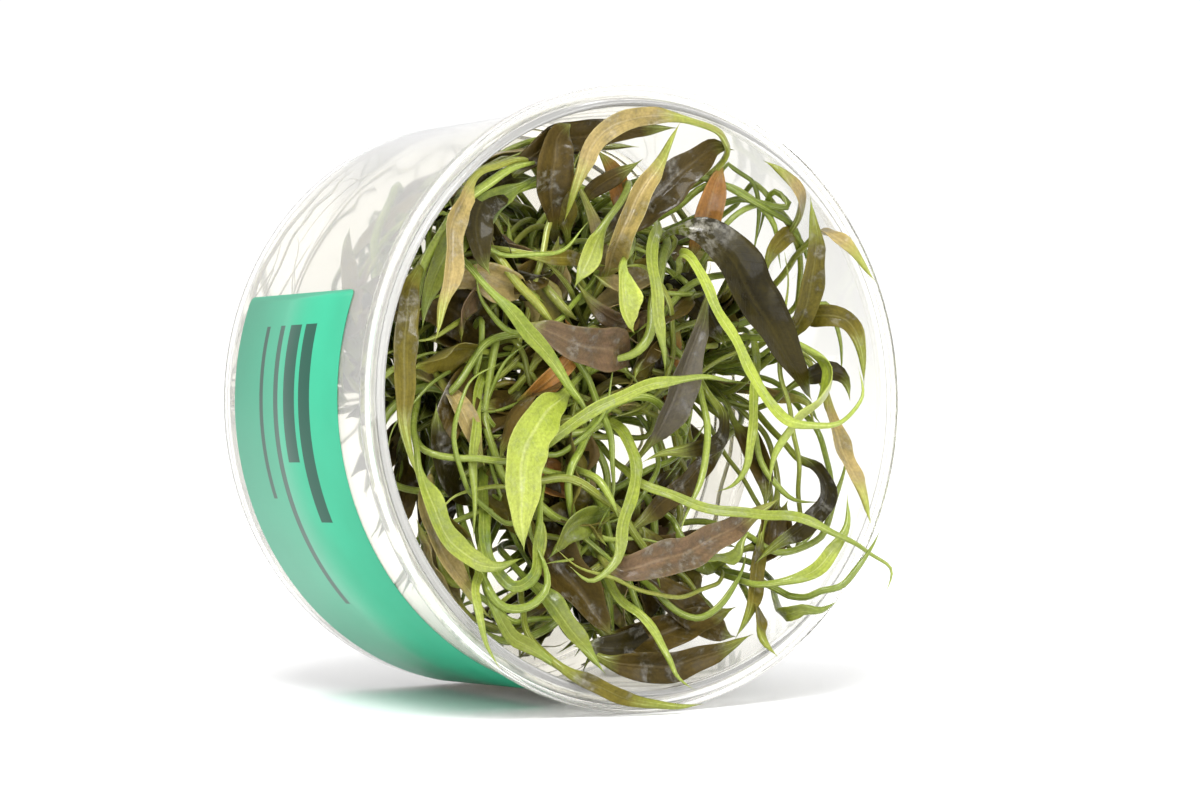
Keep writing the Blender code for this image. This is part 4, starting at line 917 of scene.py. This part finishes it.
def squareUp(rings):
    # from the widest ring outward, each ring's side is the half edge that follows its neighbour's
    lengths = [max(np.linalg.norm(first), np.linalg.norm(second)) for _, first, second in rings]
    widest = lengths.index(max(lengths))
    sides = [None] * len(rings)
    _, first, second = rings[widest]
    sides[widest] = (first, second) if np.linalg.norm(first) > np.linalg.norm(second) else (second, first)
    order = list(range(widest + 1, len(rings))) + list(range(widest - 1, -1, -1))
    for k in order:
        guide = sides[k - 1] if k > widest else sides[k + 1]
        _, first, second = rings[k]
        if abs(np.dot(unit(second), unit(guide[0]))) > abs(np.dot(unit(first), unit(guide[0]))):
            first, second = second, first
        sides[k] = (first if np.dot(first, guide[0]) > 0 else -first, second)
    rows = [(*rings[k][0], *unit(sides[k][0]), np.linalg.norm(sides[k][0]), np.linalg.norm(sides[k][1]) / 0.8)
            for k in range(len(rings))]
    tip = np.array(rows[-1])
    tip[:3] += 0.35 * (tip[:3] - np.array(rows[-2])[:3])
    tip[6:] = (0.05, 0.05)
    return np.vstack([rows, tip])


def insideWall(rows, twisted):
    # draws a leaf in from the wall, by its half width where it stands or turns edge on to it
    away = np.hypot(rows[:, 0], rows[:, 1])
    outward = rows[:, :3] * (1, 1, 0) / np.maximum(away, 1e-6)[:, None]
    edgeOn = 1.0 if twisted else np.abs((rows[:, 3:6] * outward).sum(axis=1))
    room = innerRadius(np.clip(rows[:, 2], 0, cup["depth"])) - sheaf["wallGap"] - 1.15 * rows[:, 6] * edgeOn
    share = np.minimum(room / np.maximum(away, 1e-6), 1.0)
    kept = rows.copy()
    kept[:, :2] *= share[:, None]
    return kept


def besideRows(rows, draw):
    # a leaf that grows beside another: it leans away to one side, and is shorter and slimmer
    along = np.linspace(0, 1, len(rows))[:, None]
    shift = draw.choice((-1, 1)) * draw.uniform(1.2, 4.2)
    drop = draw.uniform(-1.6, 1.8)
    own = rows.copy()
    sag = np.array((0, -draw.uniform(0, 2.0), -drop))
    own[:, :3] += rows[:, 3:6] * shift * along ** 1.1 + sag * along ** 1.4
    tilt = math.radians(draw.uniform(-50, 50))
    tangent = unit(np.gradient(own[:, :3], axis=0))
    own[:, 3:6] = own[:, 3:6] * math.cos(tilt) + np.cross(tangent, own[:, 3:6]) * math.sin(tilt)
    plain = draw.random() < sheaf["plainShare"]
    if plain:
        own[:, 6] = draw.uniform(0.5, 0.85) * np.clip((1 - along[:, 0]) / 0.3, 0.3, 1)
        own[:, 7] = own[:, 6]
    else:
        own[:, 6] *= draw.uniform(0.6, 1.05)
    return own, plain


def youngRows(crown, draw):
    # a young leaf or petiole that stands in the middle of the crown
    (fx, fy), (lx, ly) = crowns[crown]
    high = draw.uniform(*sheaf["youngTop"])
    reach = draw.uniform(*sheaf["youngReach"])
    heading = draw.uniform(0, 2 * math.pi)
    out = np.array((math.cos(heading), math.sin(heading), 0.0))
    foot = np.array((fx, fy, gel["top"] - 0.6)) + out * draw.uniform(0.3, 2.6)
    lean = np.array((lx, ly, 0.0))
    rise = high - foot[2]
    points = np.array([foot + (out * reach * u + lean * v) + (0, 0, rise * v)
                       for u, v in ((0, 0), (0.1, 0.4), (0.35, 0.75), (0.7, 0.95), (1.1, 1.0))])
    plain = draw.random() < sheaf["plainShare"]
    halfWidth = draw.uniform(0.55, 0.9) if plain else draw.uniform(1.3, 2.6)
    return routeRows(points, halfWidth, draw.uniform(0.3, 0.5), draw.uniform(-35, 35)), plain


largeLines = []      # middle lines of the large leaves


def nearLarge(points, apart):
    away = np.vstack(largeLines)[None] - points[:, None]
    return bool((np.linalg.norm(away, axis=2) < apart).any())


def wanderRows(draw, depths, steps, halfWidths, mayCross, apart):
    # a stem or leaf that rises from its crown and then wanders in arcs behind the mouth, as the eye sees it
    for _ in range(sheaf["tries"]):
        halfWidth = draw.uniform(*halfWidths)
        x, y = (draw.uniform(*span) for span in sheaf["field"])
        heading = draw.uniform(0, 2 * math.pi)
        curl = draw.uniform(-1, 1) * sheaf["stemCurl"]
        depth = draw.uniform(depths[0] + 4, depths[1])
        route = [(x, y, depth)]
        for _ in range(draw.randint(*steps)):
            heading += curl + draw.uniform(-0.3, 0.3)
            x += sheaf["stride"] * math.cos(heading)
            y += sheaf["stride"] * math.sin(heading)
            depth = min(max(depth + draw.uniform(-3.5, 2.2), depths[0]), depths[1])
            route.append((x, y, depth))
        points = behindMouth(route)
        room = innerRadius(points[:, 2]) - 1.2 - halfWidth
        if (np.hypot(points[:, 0], points[:, 1]) > room).any():
            continue
        if not mayCross and inGap(evenly(smoothLine(points), 24), 0.8 * halfWidth):
            continue
        if nearLarge(evenly(smoothLine(points), 20), apart):
            continue
        return routeRows(points, halfWidth, draw.uniform(0.0, 0.25), draw.uniform(-40, 40))
    return None


def wallRows(draw):
    # a leaf that stands along the wall on its upper left, from the gel toward the mouth
    turn = math.radians(draw.uniform(98, 178))
    low, high = draw.uniform(19, 30), draw.uniform(34, 50)
    drift, reach = draw.uniform(-0.6, 0.6), draw.uniform(38, 41.5)
    points = []
    for share in (0, 0.35, 0.7, 1):
        angle = turn + drift * share
        away = reach + 2.2 * share
        points.append((away * math.cos(angle), away * math.sin(angle), low + (high - low) * share))
    rows = routeRows(np.array(points), draw.choice((0.6, 0.8, 2.0, 2.8)), 0.1, 0.0)
    outward = unit(rows[:, :3] * (1, 1, 0))
    lean = math.radians(draw.uniform(-18, 18))
    rows[:, 3:6] = np.cross((0.0, 0.0, 1.0), outward) * math.cos(lean) + outward * math.sin(lean)
    return rows


def pickColour(draw, kind):
    mark = draw.random()
    for colour, share in sheaf[kind]:
        mark -= share
        if mark < 0:
            return colour
    return "green"


def joinMeshes(name, meshes):
    # one mesh of many; each brings its finish as (mesh, material)
    materials = []
    shape = bmesh.new()
    for mesh, material in meshes:
        if material not in materials:
            materials.append(material)
        mesh.polygons.foreach_set("material_index", [materials.index(material)] * len(mesh.polygons))
        shape.from_mesh(mesh)
        bpy.data.meshes.remove(mesh)
    return meshOf(name, shape), materials


def makeSheaves():
    # every fine leaf belongs to the crown that it is nearest to, and stands in place of its solid
    parts = {crown: [] for crown in crowns}
    draw = random.Random(29)
    for k, (colour, halfWidth, start, route) in enumerate(fineLeaves):
        points = behindMouth(route)
        rows = toCrown(routeRows(points, halfWidth, start, draw.uniform(-15, 15)), draw)
        crown = nearestCrown(points[0])
        rows = insideWall(rows, False)
        mesh = leafMesh("fine_%02d" % k, rows, {"step": 1.2}, draw.random(), 14 if halfWidth > 1.25 else 10)
        parts[crown].append((mesh, leafFinish(colour)))
    for crown in crowns:
        grown = []
        for rows in smallLeavesOf(crown):
            grown.append((rows, False))
            for _ in range(sheaf["beside"]):
                own, plain = besideRows(rows, draw)
                front = own[own[:, 2] > sheaf["front"], :3]
                apart = 0.9 if plain else 1.9
                if not inGap(own[len(own) // 3:, :3], 0.0) and not nearLarge(front, apart):
                    grown.append((own, plain))
        grown = [(toCrown(rows, draw), plain) for rows, plain in grown]
        grown += [youngRows(crown, draw) for _ in range(sheaf["young"])]
        for rows, plain in grown:
            look = {"step": 1.4, "ruffle": 0.32, "wander": 0.4,
                    "twist": draw.uniform(-70, 70), "fold": draw.uniform(0.1, 0.6)}
            mesh = leafMesh("small", insideWall(rows, True), look, draw.random(), 8 if plain else 12)
            parts[crown].append((mesh, leafFinish(pickColour(draw, "plainColours" if plain else "colours"))))
    for k in range(sheaf["stems"] + sheaf["strays"] + sheaf["walls"]):
        if k >= sheaf["stems"] + sheaf["strays"]:
            rows, sides, kind, look = wallRows(draw), 12, "wallColours", {"wander": 0.3}
        elif k < sheaf["stems"]:
            rows = wanderRows(draw, sheaf["stemDepth"], sheaf["stemSteps"], sheaf["stemHalf"],
                              draw.random() < sheaf["crossing"], sheaf["apart"][0])
            sides, kind, look = 8, "plainColours", {"petiole": 1.0, "step": 1.1, "wander": 0.3}
        else:
            rows = wanderRows(draw, sheaf["strayDepth"], sheaf["straySteps"], sheaf["strayHalf"], False,
                              sheaf["apart"][1])
            sides, kind = 14, "strayColours"
            look = {"ruffle": 0.4, "wander": 0.4,
                    "twist": draw.uniform(-110, 110), "fold": draw.uniform(0.1, 0.9)}
        if rows is None:
            continue
        crown = nearestCrown(rows[0])
        rows = insideWall(toCrown(rows, draw), "twist" in look)
        mesh = leafMesh("wandering", rows, look, draw.random(), sides)
        parts[crown].append((mesh, leafFinish(pickColour(draw, kind))))
    for crown, meshes in parts.items():
        mesh, materials = joinMeshes(crown + "_sheaf", meshes)
        addPiece(crown + "_sheaf", mesh, materials, [crown])
        print("%s: %d leaves, %d faces" % (crown, len(meshes), len(mesh.polygons)))


# roots in the gel
roots = {
    "perCrown": 9, "thick": 0.42, "patch": 0.006, "stride": 3.4, "farthest": 42.5,
    "colour": "#d5d3ae", "tipColour": "#e9e6d0",
    "cornerRoots": [   # thick roots round the corner of the base: angles from the top, radius, height, girth
        (22, 104, 43.0, 3.4, 0.95), (30, 75, 41.5, 6.5, 0.6), (115, 168, 42.0, 4.2, 0.6),
        (200, 290, 42.0, 5.0, 0.6), (-60, 10, 42.4, 5.5, 0.55),
    ],
}


def rootTissue():
    # root skin: pale cream, soft and a little see-through
    material, tree, shader = newMaterial("pale root tissue", {
        "IOR": 1.38, "Roughness": 0.4, "Subsurface Weight": 0.4, "Subsurface Radius": (1.0, 0.9, 0.5),
        "Subsurface Scale": 0.001,
    })
    spot = addNode(tree, "TexCoord", {})
    patches = addNode(tree, "TexNoise", {
        "Vector": spot.outputs["Object"], "Scale": 1 / roots["patch"], "Detail": 2.0,
    })
    colour = addNode(tree, "Mix", {
        "data_type": "RGBA", 0: patches.outputs["Fac"], 6: linear(roots["colour"]),
        7: linear(roots["tipColour"]),
    })
    tree.links.new(colour.outputs[2], shader.inputs["Base Color"])
    return material


def tubeRows(points, girths):
    rows = routeRows(points, 1.0, 0.0, 0.0, count=max(10, len(points) * 3))
    rows[:, 6] = np.interp(np.linspace(0, 1, len(rows)), np.linspace(0, 1, len(girths)), girths)
    rows[:, 7] = rows[:, 6]
    return rows


def cornerRoute(row, draw):
    # points round the corner of the base
    first, last, radius, height, _ = row
    points = []
    for step in range(12):
        turn = math.radians(first + (last - first) * step / 11)
        reach = radius + draw.uniform(-0.7, 0.5)
        points.append((-reach * math.sin(turn), reach * math.cos(turn), height + draw.uniform(-0.9, 0.9)))
    return points


def sinkingRoute(foot, draw):
    # points from a crown's foot down through the gel, turned back where they reach the wall
    heading = draw.uniform(0, 2 * math.pi)
    spot = np.array((foot[0] + draw.uniform(-2, 2), foot[1] + draw.uniform(-2, 2), gel["top"] - 0.4))
    points = [spot.copy()]
    sink = draw.uniform(1.8, 3.4)
    for _ in range(draw.randint(6, 11)):
        heading += draw.uniform(-0.7, 0.7)
        spot = spot + (roots["stride"] * math.cos(heading), roots["stride"] * math.sin(heading), -sink)
        spot[2] = max(spot[2], 2.6 + draw.uniform(0, 1.5))
        reach = math.hypot(spot[0], spot[1])
        if reach > roots["farthest"]:
            spot[:2] *= roots["farthest"] / reach
            heading += 0.8
        points.append(spot.copy())
    return points


def branchRoute(base, draw):
    heading = draw.uniform(0, 2 * math.pi)
    points = [base]
    for _ in range(3):
        heading += draw.uniform(-0.5, 0.5)
        step = (2.2 * math.cos(heading), 2.2 * math.sin(heading), draw.uniform(-1.0, 1.0))
        tip = points[-1] + np.array(step)
        tip[2] = min(max(tip[2], 2.4), gel["top"] - 0.8)
        tip[:2] *= min(1.0, 43.0 / math.hypot(tip[0], tip[1]))
        points.append(tip)
    return points


def makeRoots():
    draw = random.Random(5)
    tissue = rootTissue()
    meshes = []

    def grow(points, girth, shares, step, sides):
        rows = tubeRows(points, [girth * share for share in shares])
        meshes.append((leafMesh("root", rows, {"step": step}, draw.random(), sides), tissue))

    for row in roots["cornerRoots"]:
        grow(cornerRoute(row, draw), row[4], (0.7, 1, 1, 0.8, 0.25), 1.2, 8)
    for foot, _ in crowns.values():
        for _ in range(roots["perCrown"]):
            points = sinkingRoute(foot, draw)
            girth = roots["thick"] * draw.uniform(0.6, 1.3)
            grow(points, girth, (1.2, 1, 0.8, 0.3), 1.2, 6)
            for _ in range(draw.randint(1, 3)):
                base = points[draw.randint(1, len(points) - 2)]
                grow(branchRoute(base, draw), girth, (0.6, 0.45, 0.2), 1.0, 6)
    mesh, materials = joinMeshes("roots_in_gel", meshes)
    addPiece("roots_in_gel", mesh, materials, [])
    print("roots: %d pieces, %d faces" % (len(meshes), len(mesh.polygons)))


# light, floor and camera
studio = {
    "camera": (-0.51565, -0.85035, 0.11156), "target": (0.00778, -0.00065, 0.04804), "lens": 184.4,
    "world": 1.06, "floor": "#fcfcfc", "bounces": 24,
    "lamps": [   # place, size and watts; each points at the cup
        ("key softbox", (-0.45, -0.6, 0.95), 0.45, 11.0),
        ("front fill", (0.1, -1.2, 0.4), 0.6, 5.0),
    ],
}


def lookAt(thing, target):
    thing.rotation_mode = "QUATERNION"
    thing.rotation_quaternion = (Vector(target) - thing.location).to_track_quat("-Z", "Y")


def makeStudio():
    scene = bpy.context.scene
    scene.view_settings.view_transform = "Standard"
    scene.cycles.max_bounces = studio["bounces"]           # light crosses many clear walls here
    scene.cycles.transmission_bounces = studio["bounces"]
    lens = bpy.data.cameras.new("camera")
    lens.lens = studio["lens"]
    lens.sensor_width = 36.0
    lens.clip_start = 0.01
    camera = bpy.data.objects.new("camera", lens)
    camera.location = studio["camera"]
    lookAt(camera, studio["target"])
    scene.collection.objects.link(camera)
    scene.camera = camera
    for name, place, size, watts in studio["lamps"]:
        light = bpy.data.lights.new(name, "AREA")
        light.size = size
        light.energy = watts
        lamp = bpy.data.objects.new(name, light)
        lamp.location = place
        lookAt(lamp, (0, 0, 0.05))
        scene.collection.objects.link(lamp)
    world = bpy.data.worlds.new("white studio")
    scene.world = world
    world.use_nodes = True
    world.node_tree.nodes["Background"].inputs["Color"].default_value = (1, 1, 1, 1)
    world.node_tree.nodes["Background"].inputs["Strength"].default_value = studio["world"]
    shape = bmesh.new()
    bmesh.ops.create_grid(shape, x_segments=1, y_segments=1, size=3.0)
    mesh = meshOf("studio_floor", shape)
    floor = bpy.data.objects.new("studio_floor", mesh)
    material, _, _ = newMaterial("white paper sweep", {
        "Base Color": linear(studio["floor"]), "Roughness": 0.9, "Specular IOR Level": 0.1,
    })
    mesh.materials.append(material)
    scene.collection.objects.link(floor)


makeStudio()
makeCup()
makeGel()
makeLabel()
makeLeaves()
makeSheaves()
makeRoots()
